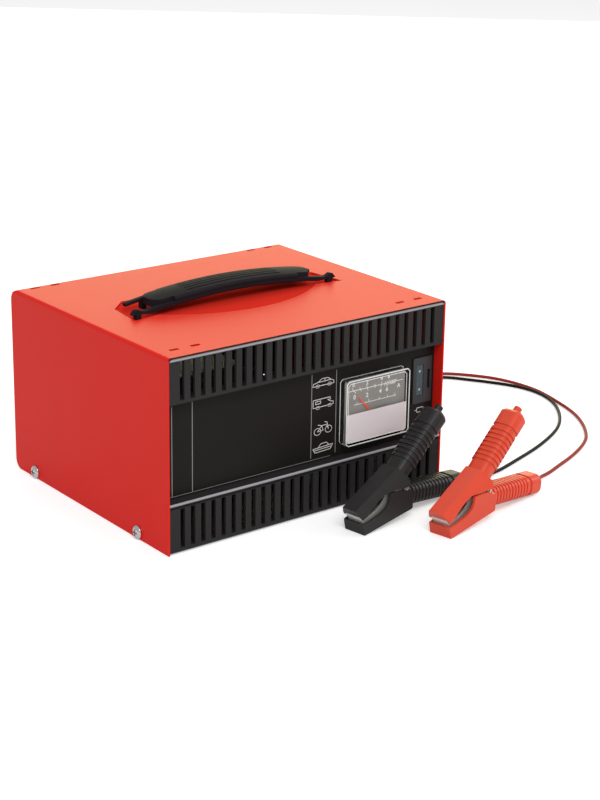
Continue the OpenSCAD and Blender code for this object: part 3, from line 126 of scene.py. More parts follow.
@dataclass(frozen=True)
class Finish:
    """A real material with its colour drift, gloss drift and surface relief.

    Attributes:
        name: Common name of the material and how its surface was made.
        colour: Main colour as sRGB hex.
        drift: Second colour that the first one drifts towards.
        drift_mm: Size of the patches of colour drift.
        drift_share: How far the colour goes towards the second one.
        rough: Mean roughness.
        rough_swing: How far the roughness swings about its mean.
        metal: Metallic value.
        ior: Index of refraction; metals keep the default.
        specular: Specular level on the shader.
        coat: Weight of the clear coat.
        grain_mm: Size of the relief's grain.
        grain_depth: Height of the relief in millimetres.
        stretch: Factors on the grain's size along X, Y and Z, for brushed work.
        glow: Share of light that passes into the body of a soft or milky plastic.
    """

    name: str
    colour: str
    drift: str
    drift_mm: float = 30.0
    drift_share: float = 0.35
    rough: float = 0.5
    rough_swing: float = 0.06
    metal: float = 0.0
    ior: float = 1.5
    specular: float = 0.5
    coat: float = 0.0
    grain_mm: float = 1.0
    grain_depth: float = 0.02
    stretch: Point = (1.0, 1.0, 1.0)
    glow: float = 0.0

    def material(self) -> bpy.types.Material:
        """Return this finish's material, built on its first use."""
        found = bpy.data.materials.get(self.name)
        if found is not None:
            return found
        made = bpy.data.materials.new(self.name)
        made.use_nodes = True
        tree = made.node_tree
        tree.nodes.clear()
        shader = add_node(tree, "ShaderNodeBsdfPrincipled", self.plain_values())
        self.dress(tree, shader)
        add_node(tree, "ShaderNodeOutputMaterial", links={"Surface": shader.outputs[0]})
        return made

    def plain_values(self) -> dict[str, object]:
        """Return the shader values that are the same all over the surface."""
        values: dict[str, object] = {"Metallic": self.metal, "IOR": self.ior,
            "Specular IOR Level": self.specular}
        if self.coat:
            values |= {"Coat Weight": self.coat, "Coat Roughness": 0.12}
        if self.glow:
            values |= {"Subsurface Weight": self.glow, "Subsurface Scale": 0.002}
        return values

    def dress(self, tree: bpy.types.NodeTree, shader: bpy.types.Node) -> None:
        """Link colour drift, gloss drift and relief to the shader.

        Args:
            tree: Node tree of the material.
            shader: Its principled shader.
        """
        place = self.coordinates(tree)
        patches = add_node(
            tree, "ShaderNodeTexNoise", {"Scale": 1 / (self.drift_mm * MM), "Detail": 3.0}, {"Vector": place}
        )
        share = add_node(
            tree,
            "ShaderNodeMapRange",
            {"From Min": 0.3, "From Max": 0.7, "To Max": self.drift_share},
            {"Value": patches.outputs[0]},
        )
        colour = self.colour_socket(tree, place, share.outputs[0])
        tree.links.new(colour, shader.inputs["Base Color"])
        grain = add_node(
            tree, "ShaderNodeTexNoise", {"Scale": 1 / (self.grain_mm * MM), "Detail": 4.0}, {"Vector": place}
        )
        gloss = add_node(
            tree,
            "ShaderNodeMapRange",
            {
                "From Min": 0.25,
                "From Max": 0.75,
                "To Min": max(0.0, self.rough - self.rough_swing),
                "To Max": self.rough + self.rough_swing,
            },
            {"Value": grain.outputs[0]},
        )
        tree.links.new(gloss.outputs[0], shader.inputs["Roughness"])
        if self.grain_depth:
            relief = add_node(
                tree, "ShaderNodeBump", {"Strength": 1.0, "Distance": self.grain_depth * MM},
                {"Height": grain.outputs[0]}
            )
            tree.links.new(relief.outputs[0], shader.inputs["Normal"])

    def coordinates(self, tree: bpy.types.NodeTree) -> bpy.types.NodeSocket:
        """Return the row frame's coordinates, squeezed for brushed work."""
        place = add_node(tree, "ShaderNodeTexCoord").outputs["Object"]
        if self.stretch == (1.0, 1.0, 1.0):
            return place
        scale = tuple(1 / s for s in self.stretch)
        return add_node(tree, "ShaderNodeMapping", {"Scale": scale}, {"Vector": place}).outputs[0]

    def colour_socket(
        self, tree: bpy.types.NodeTree, place: bpy.types.NodeSocket, share: bpy.types.NodeSocket
    ) -> bpy.types.NodeSocket:
        """Return the socket that carries the surface's colour.

        Args:
            tree: Node tree of the material.
            place: Coordinates on the object.
            share: Drift from the first colour to the second.

        Returns:
            A colour output.
        """
        mix = add_node(tree, "ShaderNodeMix", {"data_type": "RGBA"}, {"Factor": share})
        mix.inputs[6].default_value = linear(self.colour)
        mix.inputs[7].default_value = linear(self.drift)
        return mix.outputs[2]


@dataclass(frozen=True)
class BandedFinish(Finish):
    """A stack or winding whose edges show as fine bands.

    Attributes:
        band_mm: Distance from one band to the next.
        axis: Axis that the bands follow one another along.
        groove: Colour between the bands.
    """

    band_mm: float = 1.5
    axis: str = "Z"
    groove: str = "#201810"

    def colour_socket(
        self, tree: bpy.types.NodeTree, place: bpy.types.NodeSocket, share: bpy.types.NodeSocket
    ) -> bpy.types.NodeSocket:
        """Return the drifting colour, darkened between the bands.

        Args:
            tree: Node tree of the material.
            place: Coordinates on the object.
            share: Drift from the first colour to the second.

        Returns:
            A colour output.
        """
        base = super().colour_socket(tree, place, share)
        # A wave texture repeats about every 0.314 of its scaled unit
        bands = add_node(
            tree,
            "ShaderNodeTexWave",
            {"bands_direction": self.axis, "Scale": 0.314 / (self.band_mm * MM), "Distortion": 0.3},
            {"Vector": place},
        )
        deep = add_node(
            tree, "ShaderNodeMapRange", {"From Max": 0.35, "To Min": 0.75, "To Max": 0.0},
            {"Value": bands.outputs[1]}
        )
        mix = add_node(tree, "ShaderNodeMix", {"data_type": "RGBA"}, {"Factor": deep.outputs[0]})
        tree.links.new(base, mix.inputs[6])
        mix.inputs[7].default_value = linear(self.groove)
        return mix.outputs[2]


@dataclass(frozen=True)
class ClearFinish(Finish):
    """A clear or milky plastic that light passes through.

    Attributes:
        clearness: Share of the light that passes.
    """

    clearness: float = 1.0

    def plain_values(self) -> dict[str, object]:
        """Return the shader values with the light that passes."""
        return super().plain_values() | {"Transmission Weight": self.clearness}


class Finishes:
    """The charger's finishes, each named for its real material."""

    # Polyester powder on steel: even, slightly pebbled, with a soft gloss
    POWDER_RED = Finish(
        "powder_coated_steel_red", "#DC241B", "#D52119", drift_mm=60, rough=0.34, rough_swing=0.03,
        specular=0.09, grain_mm=1.4, grain_depth=0.008,
    )
    # The same coat in the pressed recess, its red darkened as painted shade and its gloss dulled
    POWDER_RED_PAINTED_SHADE = Finish(
        "powder_coated_steel_red_recess_painted_shade", "#D12E22", "#C92A1F", drift_mm=50, rough=0.75, rough_swing=0.04,
        specular=0.0, grain_mm=1.4, grain_depth=0.008,
    )
    # Front edge of the cover's top, dark brown as painted shade of the gap above the panel
    POWDER_EDGE_PAINTED_SHADE = Finish(
        "powder_coated_edge_painted_shade", "#35201C", "#2B1B18", drift_mm=20, rough=0.5, specular=0.1,
        grain_mm=0.8, grain_depth=0.02,
    )
    # Injection-moulded ABS with an eroded texture: charcoal, nearly matt
    ABS_PANEL = Finish(
        "moulded_abs_charcoal", "#2C2A2A", "#262525", drift_mm=35, rough=0.5, rough_swing=0.07,
        specular=0.14, grain_mm=0.5, grain_depth=0.02,
    )
    # The same ABS on the panel's beads, light grey as a painted highlight
    ABS_BEAD_PAINTED_HIGHLIGHT = Finish(
        "moulded_abs_bead_painted_highlight", "#98989B", "#8B8B8E", drift_mm=35, rough=0.3, specular=0.4, grain_mm=0.5,
        grain_depth=0.01,
    )
    # The handle's polypropylene: darker, with a satin sheen on its grooves
    PP_HANDLE = Finish(
        "moulded_polypropylene_black", "#252227", "#201E22", drift_mm=25, rough=0.5, rough_swing=0.06,
        specular=0.02, grain_mm=0.7, grain_depth=0.015,
    )
    # Screen-printed polyester film: deep black, smooth
    FILM_BLACK = Finish(
        "printed_film_black", "#1C1A19", "#211F1E", drift_mm=45, rough=0.34, rough_swing=0.03,
        specular=0.08, grain_mm=2.0, grain_depth=0.004,
    )
    # Screen ink: opaque, a touch uneven
    INK_WHITE = Finish(
        "screen_ink_white", "#E9E7E2", "#D8D6D0", drift_mm=3, rough=0.5, grain_mm=0.5, grain_depth=0.004,
    )
    INK_GREY = Finish(
        "screen_ink_grey", "#8F8D8A", "#7F7D7A", drift_mm=3, rough=0.5, grain_mm=0.5, grain_depth=0.004,
    )
    # Bright zinc or chrome on a steel screw
    CHROME_STEEL = Finish(
        "chromed_steel_screw", "#D9DBDD", "#B9BCC0", drift_mm=4, rough=0.16, rough_swing=0.05, metal=1.0,
        grain_mm=0.8, grain_depth=0.006,
    )
    # Galvanised sheet: spangled grey
    ZINC_SHEET = Finish(
        "galvanised_steel_sheet", "#A9ADB0", "#8F9497", drift_mm=8, drift_share=0.7, rough=0.38, metal=1.0,
        grain_mm=5.0, grain_depth=0.004,
    )
    # Rolled and drawn steel with a bright skin
    BRIGHT_STEEL = Finish(
        "drawn_bright_steel", "#B9BDC1", "#A4A8AC", drift_mm=5, rough=0.26, metal=1.0, grain_mm=0.4,
        grain_depth=0.006, stretch=(6.0, 1.0, 1.0),
    )
    # Nickel plate over stamped steel: warm silver with handling marks
    NICKEL_STEEL = Finish(
        "nickel_plated_stamped_steel", "#D9D8D4", "#C2BFBA", drift_mm=6, drift_share=0.4, rough=0.42,
        rough_swing=0.06, metal=0.7, grain_mm=1.2, grain_depth=0.01,
    )
    SPRING_STEEL = Finish(
        "drawn_spring_wire", "#9EA2A6", "#84888C", drift_mm=4, rough=0.3, metal=1.0, grain_mm=0.3,
        grain_depth=0.004,
    )
    # Soft PVC boots: saturated, waxy, with a slight inner glow
    PVC_RED = Finish(
        "soft_pvc_red", "#D8482E", "#CE4027", drift_mm=18, rough=0.36, rough_swing=0.05, specular=0.3,
        grain_mm=0.9, grain_depth=0.008, glow=0.05,
    )
    PVC_BLACK = Finish(
        "soft_pvc_black", "#2E2C2C", "#292727", drift_mm=18, rough=0.36, rough_swing=0.04, specular=0.2,
        grain_mm=0.9, grain_depth=0.008,
    )
    # Extruded cable sheath, matt from its talc
    SHEATH_RED = Finish(
        "extruded_sheath_red", "#8E2A24", "#9C332B", drift_mm=12, rough=0.45, specular=0.15, grain_mm=0.6,
        grain_depth=0.01,
    )
    SHEATH_BLACK = Finish(
        "extruded_sheath_black", "#121211", "#191918", drift_mm=12, rough=0.42, specular=0.12, grain_mm=0.6,
        grain_depth=0.01,
    )
    # Polished polystyrene window, its index low so that the thin wall mirrors little
    CLEAR_STYRENE = ClearFinish(
        "clear_polystyrene", "#FAFBFB", "#F4F6F6", rough=0.03, rough_swing=0.015, ior=1.12, specular=0.0,
        grain_mm=8.0, grain_depth=0.002, clearness=1.0,
    )
    # Near-white tubes on its rims: a painted highlight of the light on the clear edges
    STYRENE_RIM_PAINTED_HIGHLIGHT = Finish(
        "polystyrene_rim_painted_highlight", "#F2F2F1", "#E2E3E3", drift_mm=9, rough=0.3, ior=1.59, specular=0.3,
        grain_mm=2.0, grain_depth=0.002,
    )
    # Frosted insert that hides the movement
    FROSTED_STYRENE = ClearFinish(
        "frosted_polystyrene", "#E2D4D6", "#DDCFD0", drift_mm=14, rough=0.5, ior=1.59, grain_mm=0.4,
        grain_depth=0.004, clearness=0.05,
    )
    # Rolled aluminium dial under grey lacquer
    DIAL_GREY = Finish(
        "lacquered_dial_grey", "#8A8581", "#827D79", drift_mm=20, rough=0.45, grain_mm=0.6,
        grain_depth=0.004,
    )
    LACQUER_ORANGE = Finish(
        "lacquered_pointer_orange", "#E9562B", "#DE4A22", drift_mm=5, rough=0.4, grain_mm=0.5,
        grain_depth=0.004,
    )
    # Nylon fuse holder, a shade lighter than the label
    NYLON_DARK = Finish(
        "moulded_nylon_dark", "#2A2B2F", "#25262A", drift_mm=10, rough=0.48, grain_mm=0.5, grain_depth=0.02,
    )
    FUSE_BLUE = ClearFinish(
        "polycarbonate_fuse_blue", "#16394A", "#133140", drift_mm=6, rough=0.2, ior=1.58, grain_mm=1.0,
        grain_depth=0.004, clearness=0.15,
    )
    ZINC_BLADE = Finish(
        "stamped_zinc_blade", "#C3C6C8", "#A9ACAF", drift_mm=3, rough=0.3, metal=1.0, grain_mm=0.5,
        grain_depth=0.006,
    )
    # Inside the case
    RUBBER_GLAND = Finish(
        "moulded_rubber_black", "#1B1B1B", "#232323", drift_mm=10, rough=0.6, specular=0.35, grain_mm=0.8,
        grain_depth=0.02,
    )
    NYLON_NATURAL = Finish(
        "moulded_nylon_natural", "#E4DECE", "#D8D1BF", drift_mm=12, rough=0.45, grain_mm=0.8,
        grain_depth=0.01, glow=0.05,
    )
    BRASS = Finish(
        "rolled_brass", "#C29A50", "#AA8440", drift_mm=6, rough=0.3, metal=1.0, grain_mm=0.6,
        grain_depth=0.006,
    )
    TINNED_BRASS = Finish(
        "tinned_brass", "#C9C4B6", "#B4AE9F", drift_mm=4, rough=0.34, metal=1.0, grain_mm=0.6,
        grain_depth=0.008,
    )
    # Wire of about 1 mm, drawn a little coarser so that its turns show; the dark bands between the turns are
    # painted shade of the crevices
    COPPER_WINDING = BandedFinish(
        "enamelled_copper_winding", "#B4622F", "#9C4F24", drift_mm=10, rough=0.32, metal=0.8, grain_mm=1.2,
        grain_depth=0.05, band_mm=1.6, axis="Z", groove="#3A1D0E",
    )
    # Sheets of 0.5 mm, drawn at 1.5 mm so that the stack shows
    LAMINATED_STEEL = BandedFinish(
        "laminated_electrical_steel", "#6A6764", "#575451", drift_mm=15, rough=0.5, metal=0.7, grain_mm=1.0,
        grain_depth=0.02, band_mm=1.5, axis="Y", groove="#33302D",
    )
    EXTRUDED_ALLOY = Finish(
        "extruded_aluminium", "#B6BABD", "#A2A6AA", drift_mm=6, rough=0.34, metal=1.0, grain_mm=0.6,
        grain_depth=0.012, stretch=(1.0, 12.0, 1.0),
    )
    EPOXY_BLACK = Finish(
        "moulded_epoxy_black", "#232326", "#1C1C1F", drift_mm=6, rough=0.5, grain_mm=0.4, grain_depth=0.015,
    )
    SOLDER_RESIST = Finish(
        "solder_resist_green", "#1F5B36", "#2B7145", drift_mm=5, drift_share=0.6, rough=0.28, coat=0.3,
        grain_mm=2.5, grain_depth=0.02,
    )
    SLEEVE_BLUE = Finish(
        "shrunk_sleeve_blue", "#2E4868", "#253C58", drift_mm=8, rough=0.3, coat=0.2, grain_mm=1.0,
        grain_depth=0.01,
    )
    WIRE_BROWN = Finish(
        "extruded_wire_brown", "#5B4030", "#4D3527", drift_mm=10, rough=0.42, grain_mm=0.6,
        grain_depth=0.01,
    )
    WIRE_YELLOW = Finish(
        "extruded_wire_yellow", "#D8BE35", "#C9AF2B", drift_mm=10, rough=0.42, grain_mm=0.6,
        grain_depth=0.01,
    )
    WIRE_RED = Finish(
        "extruded_wire_red", "#B23A30", "#A33228", drift_mm=10, rough=0.42, grain_mm=0.6, grain_depth=0.01,
    )
    TIE_NYLON = Finish(
        "moulded_nylon_tie", "#2A2A2A", "#353535", drift_mm=5, rough=0.4, grain_mm=0.5, grain_depth=0.01,
    )


# --- Shapes ---

def put(
    piece: bpy.types.Object, body: Body, finish: Finish, *replaced: str, slot: str | None = None
) -> bpy.types.Object:
    """Dress a piece, set it on its body and hide the frame nodes that it stands for.

    Args:
        piece: Object in the row frame.
        body: Rigid body that it moves with.
        finish: Its material.
        replaced: Frame nodes that it stands for.
        slot: Not used.

    Returns:
        The same piece.
    """
    piece.data.materials.clear()
    piece.data.materials.append(finish.material())
    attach(piece, body.value)
    if replaced:
        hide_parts(*replaced)
    return piece


def dressed(
    name: str, node: str, width: float, body: Body, finish: Finish, slot: str, **copying: object
) -> bpy.types.Object:
    """Copy a frame node with eased edges, dress it and hide the frame node that it stands for.

    Args:
        name: Name of the new piece.
        node: Frame node that it copies and stands for.
        width: Width of the rounding in millimetres.
        body: Rigid body that it moves with.
        finish: Its material.
        slot: Not used.
        copying: Further values for copied().

    Returns:
        The new piece.
    """
    return put(copied(name, node, width, **copying), body, finish, node, slot=slot)


def part_painted(piece: bpy.types.Object, finish: Finish, where: Callable[[Vector], bool]) -> None:
    """Give some of a piece's faces a second finish.

    Args:
        piece: The dressed piece.
        finish: The finish of the chosen faces.
        where: Says whether a face's middle, in millimetres, is chosen.
    """
    piece.data.materials.append(finish.material())
    for face in piece.data.polygons:
        if where(face.center / MM):
            face.material_index = len(piece.data.materials) - 1


def object_from(name: str, mesh: bpy.types.Mesh) -> bpy.types.Object:
    """Link a new object that shows a mesh.

    Args:
        name: Object's name.
        mesh: Its mesh, in metres in the row frame.

    Returns:
        The new object.
    """
    piece = bpy.data.objects.new(name, mesh)
    bpy.context.scene.collection.objects.link(piece)
    return piece


def smooth_edges(mesh: bpy.types.Mesh, angle: float = 32.0) -> None:
    """Shade a mesh smooth with its edges above an angle left sharp.

    Args:
        mesh: Mesh to shade.
        angle: Angle between faces, in degrees, above which an edge is sharp.
    """
    mesh.shade_smooth()
    mesh.set_sharp_from_angle(angle=math.radians(angle))


def settled(piece: bpy.types.Object) -> None:
    """Write a piece's modifiers into its mesh."""
    graph = bpy.context.evaluated_depsgraph_get()
    piece.data = bpy.data.meshes.new_from_object(piece.evaluated_get(graph), depsgraph=graph)
    piece.modifiers.clear()


def eased(piece: bpy.types.Object, width: float, angle: float = 32.0, segments: int = 2) -> bpy.types.Object:
    """Round a piece's sharp edges as a mould or press leaves them.

    Args:
        piece: Object whose mesh is rewritten.
        width: Width of the rounding in millimetres.
        angle: Angle in degrees above which an edge is rounded.
        segments: Faces across the rounding.

    Returns:
        The same piece.
    """
    bevel = piece.modifiers.new("ease", "BEVEL")
    bevel.width = width * MM
    bevel.segments = segments
    bevel.limit_method = "ANGLE"
    bevel.angle_limit = math.radians(angle)
    bevel.use_clamp_overlap = True
    bevel.miter_outer = "MITER_ARC"
    settled(piece)
    smooth_edges(piece.data, 40.0)
    flat = piece.modifiers.new("flat", "WEIGHTED_NORMAL")
    flat.mode = "FACE_AREA"
    flat.weight = 50
    flat.keep_sharp = True
    settled(piece)
    return piece


def cleaned(node: str, whole: bool = True) -> bmesh.types.BMesh:
    """Take a frame node's mesh, welded.

    Args:
        node: Name of the frame node.
        whole: Whether its coplanar triangles are joined to faces.

    Returns:
        The welded mesh.
    """
    work = bmesh.new()
    work.from_mesh(bpy.data.objects[node].data)
    bmesh.ops.remove_doubles(work, verts=work.verts, dist=0.002 * MM)
    if whole:
        bmesh.ops.dissolve_limit(work, angle_limit=math.radians(0.6), verts=work.verts, edges=work.edges)
    return work


def copied(
    name: str,
    node: str,
    width: float = 0.25,
    segments: int = 2,
    whole: bool = True,
    shape: Callable[[bmesh.types.BMesh], None] | None = None,
) -> bpy.types.Object:
    """Copy a frame node with its edges eased.

    Args:
        name: Name of the new piece.
        node: Frame node whose shape it keeps.
        width: Width of the rounding in millimetres.
        segments: Faces across the rounding.
        whole: Whether its coplanar triangles are joined first.
        shape: Reworks the mesh before its edges are eased.

    Returns:
        The new piece.
    """
    work = cleaned(node, whole)
    if shape:
        shape(work)
    mesh = bpy.data.meshes.new(name)
    work.to_mesh(mesh)
    work.free()
    return eased(object_from(name, mesh), width, segments=segments)


def turned(points: Sequence[Flat], heading: float, place: Flat) -> list[Flat]:
    """Turn flat points by a heading and move them to a place.

    Args:
        points: Points as X and Y in millimetres.
        heading: Angle in degrees, anticlockwise from +X.
        place: Where the origin goes.

    Returns:
        The moved points.
    """
    c, s = math.cos(math.radians(heading)), math.sin(math.radians(heading))
    return [(place[0] + x * c - y * s, place[1] + x * s + y * c) for x, y in points]


def spline(points: Sequence[Point], steps: int = 5) -> list[Vector]:
    """Run a smooth curve through given points.

    Args:
        points: Points in millimetres.
        steps: Stretches between one point and the next.

    Returns:
        Points of a centripetal curve through all of them.
    """
    given = [Vector(p) for p in points]
    ends = [2 * given[0] - given[1], *given, 2 * given[-1] - given[-2]]
    run: list[Vector] = []
    for four in zip(ends, ends[1:], ends[2:], ends[3:]):
        knots = [0.0]
        for near, far in zip(four, four[1:]):
            knots.append(knots[-1] + max((far - near).length, 1e-6) ** 0.5)
        for k in range(steps):
            at = knots[1] + (knots[2] - knots[1]) * k / steps
            level = list(four)
            for width in (1, 2, 3):
                spans = [(knots[i], knots[i + width]) if width < 3 else (knots[1],
                    knots[2]) for i in range(4 - width)]
                level = [a.lerp(b, (at - lo) / (hi - lo)) for a, b, (lo, hi) in zip(level, level[1:], spans)]
            run.append(level[0])
    return [*run, given[-1]]


class Sketch:
    """A mesh being drawn, in millimetres of the row frame."""

    def __init__(self) -> None:
        """Start with an empty mesh."""
        self.work = bmesh.new()

    def loft(self, rings: Sequence[Sequence[Point]], closed: bool = True, caps: bool = True) -> None:
        """Join rings of as many points each with faces.

        Args:
            rings: Rings of points, in order.
            closed: Whether each ring's last point joins its first.
            caps: Whether the first and last ring are closed with a face.
        """
        rows = [[self.work.verts.new(Vector(p) * MM) for p in ring] for ring in rings]
        count = len(rows[0])
        for low, high in zip(rows, rows[1:]):
            for i in range(count if closed else count - 1):
                j = (i + 1) % count
                self.work.faces.new((low[i], low[j], high[j], high[i]))
        if caps and closed:
            self.work.faces.new(rows[0][::-1])
            self.work.faces.new(rows[-1])

    def lathe(self, profile: Sequence[Flat], place: Callable[[float, float, float], Point],
        sides: int = 48) -> None:
        """Turn a profile about an axis.

        Args:
            profile: Radius and level of each point, in order.
            place: Turns two offsets across the axis and a level into a point.
            sides: Points round the axis.
        """
        angles = [2 * math.pi * k / sides for k in range(sides)]
        self.loft([[place(r * math.cos(a), r * math.sin(a), w) for a in angles] for r, w in profile])

    def tube(self, path: Sequence[Vector], radius: float, sides: int = 12) -> None:
        """Sweep a round section along a path.

        Args:
            path: Points that the tube's middle follows.
            radius: Its radius.
            sides: Points round the section.
        """
        rings = []
        across: Vector | None = None
        for i, at in enumerate(path):
            ahead = (path[min(i + 1, len(path) - 1)] - path[max(i - 1, 0)]).normalized()
            if across is None:
                across = ahead.cross(Vector((0, 0, 1)) if abs(ahead.z) < 0.9 else Vector((0, 1, 0)))
            across = (across - across.dot(ahead) * ahead).normalized()
            up = ahead.cross(across)
            turns = [2 * math.pi * (k + 0.5) / sides for k in range(sides)]
            rings.append([at + radius * (math.cos(a) * across + math.sin(a) * up) for a in turns])
        self.loft(rings)

    def stroke(self, points: Sequence[Flat], width: float, place: Callable[[float, float], Point]) -> None:
        """Print a line of even width through flat points.

        Args:
            points: Points of the line.
            width: Its width.
            place: Turns a flat point into a point on the printed surface.
        """
        for (x0, y0), (x1, y1) in zip(points, points[1:]):
            length = math.hypot(x1 - x0, y1 - y0) or 1e-6
            ex, ey = (x1 - x0) / length * width / 2, (y1 - y0) / length * width / 2
            corners = [
                (x0 - ex + ey, y0 - ey - ex), (x1 + ex + ey, y1 + ey - ex),
                (x1 + ex - ey, y1 + ey + ex), (x0 - ex - ey, y0 - ey + ex),
            ]
            self.work.faces.new([self.work.verts.new(Vector(place(u, v)) * MM) for u, v in corners])

    def figure(self, text: str, size: float, middle: Flat, place: Callable[[float, float], Point]) -> None:
        """Print a numeral or sign, centred on a flat point.

        Args:
            text: What to print.
            size: Height of the type.
            middle: Its centre.
            place: Turns a flat point into a point on the printed surface.
        """
        curve = bpy.data.curves.new("figure", "FONT")
        curve.body = text
        curve.size = size * 1.4
        curve.offset = size * 0.035
        curve.align_x = "CENTER"
        curve.align_y = "CENTER"
        holder = bpy.data.objects.new("figure", curve)
        mesh = bpy.data.meshes.new_from_object(holder)
        middle_v = sum(v.co.y for v in mesh.vertices) / max(len(mesh.vertices), 1)
        made = []
        for v in mesh.vertices:
            at = place(v.co.x + middle[0], v.co.y - middle_v + middle[1])
            made.append(self.work.verts.new(Vector(at) * MM))
        for face in mesh.polygons:
            self.work.faces.new([made[i] for i in face.vertices])
        bpy.data.objects.remove(holder)
        bpy.data.curves.remove(curve)
        bpy.data.meshes.remove(mesh)

    def piece(self, name: str, angle: float = 32.0) -> bpy.types.Object:
        """Close the drawing and link it as an object.

        Args:
            name: Object's name.
            angle: Angle in degrees above which an edge stays sharp.

        Returns:
            The new object.
        """
        bmesh.ops.recalc_face_normals(self.work, faces=self.work.faces)
        mesh = bpy.data.meshes.new(name)
        self.work.to_mesh(mesh)
        self.work.free()
        smooth_edges(mesh, angle)
        return object_from(name, mesh)


# --- Camera, light and floor ---

@dataclass
class Studio:
    """A plain white table under soft light.

    Attributes:
        eye: Camera's place in millimetres.
        azimuth: Camera's heading in radians, from +Y towards +X.
        elevation: How far it looks down, in radians.
        roll: Its roll in radians.
        lens: Focal length in pixels of a picture 800 high.
        shift: Vertical shift as a share of the picture's height.
        world_light: Strength of the surround that lights the object.
        floor_glow: Strength of the floor's own light where it is seen.
    """

    PICTURE_HEIGHT = 800
    SENSOR_HEIGHT = 36.0

    eye: Point = (-620.21, -867.623, 418.712)
    azimuth: float = 0.662
    elevation: float = 0.302
    roll: float = 0.015
    lens: float = 1842.8
    shift: float = -0.075
    world_light: float = 0.5
    floor_glow: float = 0.365

    def build(self) -> None:
        """Make the camera, the floor, the world and the lamps."""
        self.camera()
        self.floor()
        self.world()
        white = (1.0, 1.0, 1.0)
        self.lamp("lamp_key", (-700, -1500, 1700), 900, 26.0, white)
        self.lamp("lamp_top", (300, 500, 1900), 1200, 6.5, white)
        self.lamp("lamp_side", (1600, -500, 900), 800, 8.0, white)
        self.lamp("lamp_warm", (1350, 1500, 640), 1500, 13.0, (0.95, 0.93, 0.5))

    def camera(self) -> None:
        """Make the camera and hand it to the scene."""
        ahead = Vector((
            math.cos(self.elevation) * math.sin(self.azimuth),
            math.cos(self.elevation) * math.cos(self.azimuth),
            -math.sin(self.elevation),
        ))
        right = ahead.cross(Vector((0, 0, 1))).normalized()
        up = right.cross(ahead)
        c, s = math.cos(self.roll), math.sin(self.roll)
        right, up = c * right + s * up, c * up - s * right
        data = bpy.data.cameras.new("camera")
        data.sensor_fit = "VERTICAL"
        data.sensor_height = self.SENSOR_HEIGHT
        data.lens = self.lens / self.PICTURE_HEIGHT * self.SENSOR_HEIGHT
        data.shift_y = self.shift
        data.clip_end = 20.0
        eye = bpy.data.objects.new("camera", data)
        turn = Matrix((right, up, -ahead)).transposed().to_4x4()
        eye.matrix_world = Matrix.Translation(Vector(self.eye) * MM) @ turn
        bpy.context.scene.collection.objects.link(eye)
        bpy.context.scene.camera = eye

    def floor(self) -> None:
        """Lay a white floor that keeps the object's shadow."""
        sketch = Sketch()
        reach, level = 6000, -0.3
        sketch.loft([[(-reach, y, level), (reach, y, level)] for y in (-reach, reach)], closed=False)
        floor = sketch.piece("floor")
        paper = bpy.data.materials.new("matt_white_table")
        paper.use_nodes = True
        tree = paper.node_tree
        tree.nodes.clear()
        diffuse = add_node(tree, "ShaderNodeBsdfDiffuse", {"Color": (0.9, 0.9, 0.9, 1)})
        light = add_node(tree, "ShaderNodeEmission", {"Color": (1, 1, 1, 1), "Strength": self.floor_glow})
        none = add_node(tree, "ShaderNodeEmission", {"Strength": 0.0})
        seen = self.seen_rays(tree)
        glow = add_node(tree, "ShaderNodeMixShader", links={0: seen, 1: none.outputs[0], 2: light.outputs[0]})
        both = add_node(tree, "ShaderNodeAddShader", links={0: diffuse.outputs[0], 1: glow.outputs[0]})
        add_node(tree, "ShaderNodeOutputMaterial", links={"Surface": both.outputs[0]})
        floor.data.materials.append(paper)

    @staticmethod
    def seen_rays(tree: bpy.types.NodeTree) -> bpy.types.NodeSocket:
        """Return 1 for the rays that show the backdrop as it is, else 0."""
        path = add_node(tree, "ShaderNodeLightPath")
        return add_node(
            tree, "ShaderNodeMath", {"operation": "MAXIMUM"},
            {0: path.outputs["Is Camera Ray"], 1: path.outputs["Is Transmission Ray"]},
        ).outputs[0]

    def world(self) -> None:
        """Make a white surround that lights the object evenly."""
        world = bpy.data.worlds.new("white_room")
        bpy.context.scene.world = world
        world.use_nodes = True
        tree = world.node_tree
        tree.nodes.clear()
        lit = add_node(tree, "ShaderNodeBackground", {"Color": (1, 1, 1, 1), "Strength": self.world_light})
        seen = add_node(tree, "ShaderNodeBackground", {"Color": (1, 1, 1, 1), "Strength": 1.0})
        rays = self.seen_rays(tree)
        mix = add_node(tree, "ShaderNodeMixShader", links={0: rays, 1: lit.outputs[0], 2: seen.outputs[0]})
        add_node(tree, "ShaderNodeOutputWorld", links={"Surface": mix.outputs[0]})

    @staticmethod
    def lamp(name: str, place: Point, size: float, watts: float, colour: Point) -> None:
        """Hang a soft square lamp that faces the charger.

        Args:
            name: Lamp's name.
            place: Where it hangs, in millimetres.
            size: Length of its sides in millimetres.
            watts: Its power.
            colour: Colour of its light.
        """
        data = bpy.data.lights.new(name, "AREA")
        data.size = size * MM
        data.energy = watts
        data.color = colour
        lamp = bpy.data.objects.new(name, data)
        lamp.location = Vector(place) * MM
        lamp.rotation_euler = (Vector((0, 0, 0.05)) - lamp.location).to_track_quat("-Z", "Y").to_euler()
        bpy.context.scene.collection.objects.link(lamp)


# --- Leads ---

@dataclass
class ClampPlace:
    """Where a clamp lies and how its handles stand.

    Attributes:
        place: Its tip's lower corner, X and Y.
        heading: Angle in degrees that it points back along.
    """

    place: Flat
    heading: float = 9.0
    root: Flat = (34.4, 13.2)
    slope: float = -7.0
    handle: float = 59.0

    def world(self, x: float, y: float, z: float) -> Point:
        """Turn a point in the clamp's own axes into one of the row frame."""
        (u, v), = turned([(x, y)], self.heading, self.place)
        return u, v, z

    def axis(self, along: float) -> Point:
        """Return the point of the lower handle's middle line at a distance from its root."""
        a = math.radians(self.slope)
        return self.world(self.root[0] + along * math.cos(a), 0.0, self.root[1] + along * math.sin(a))


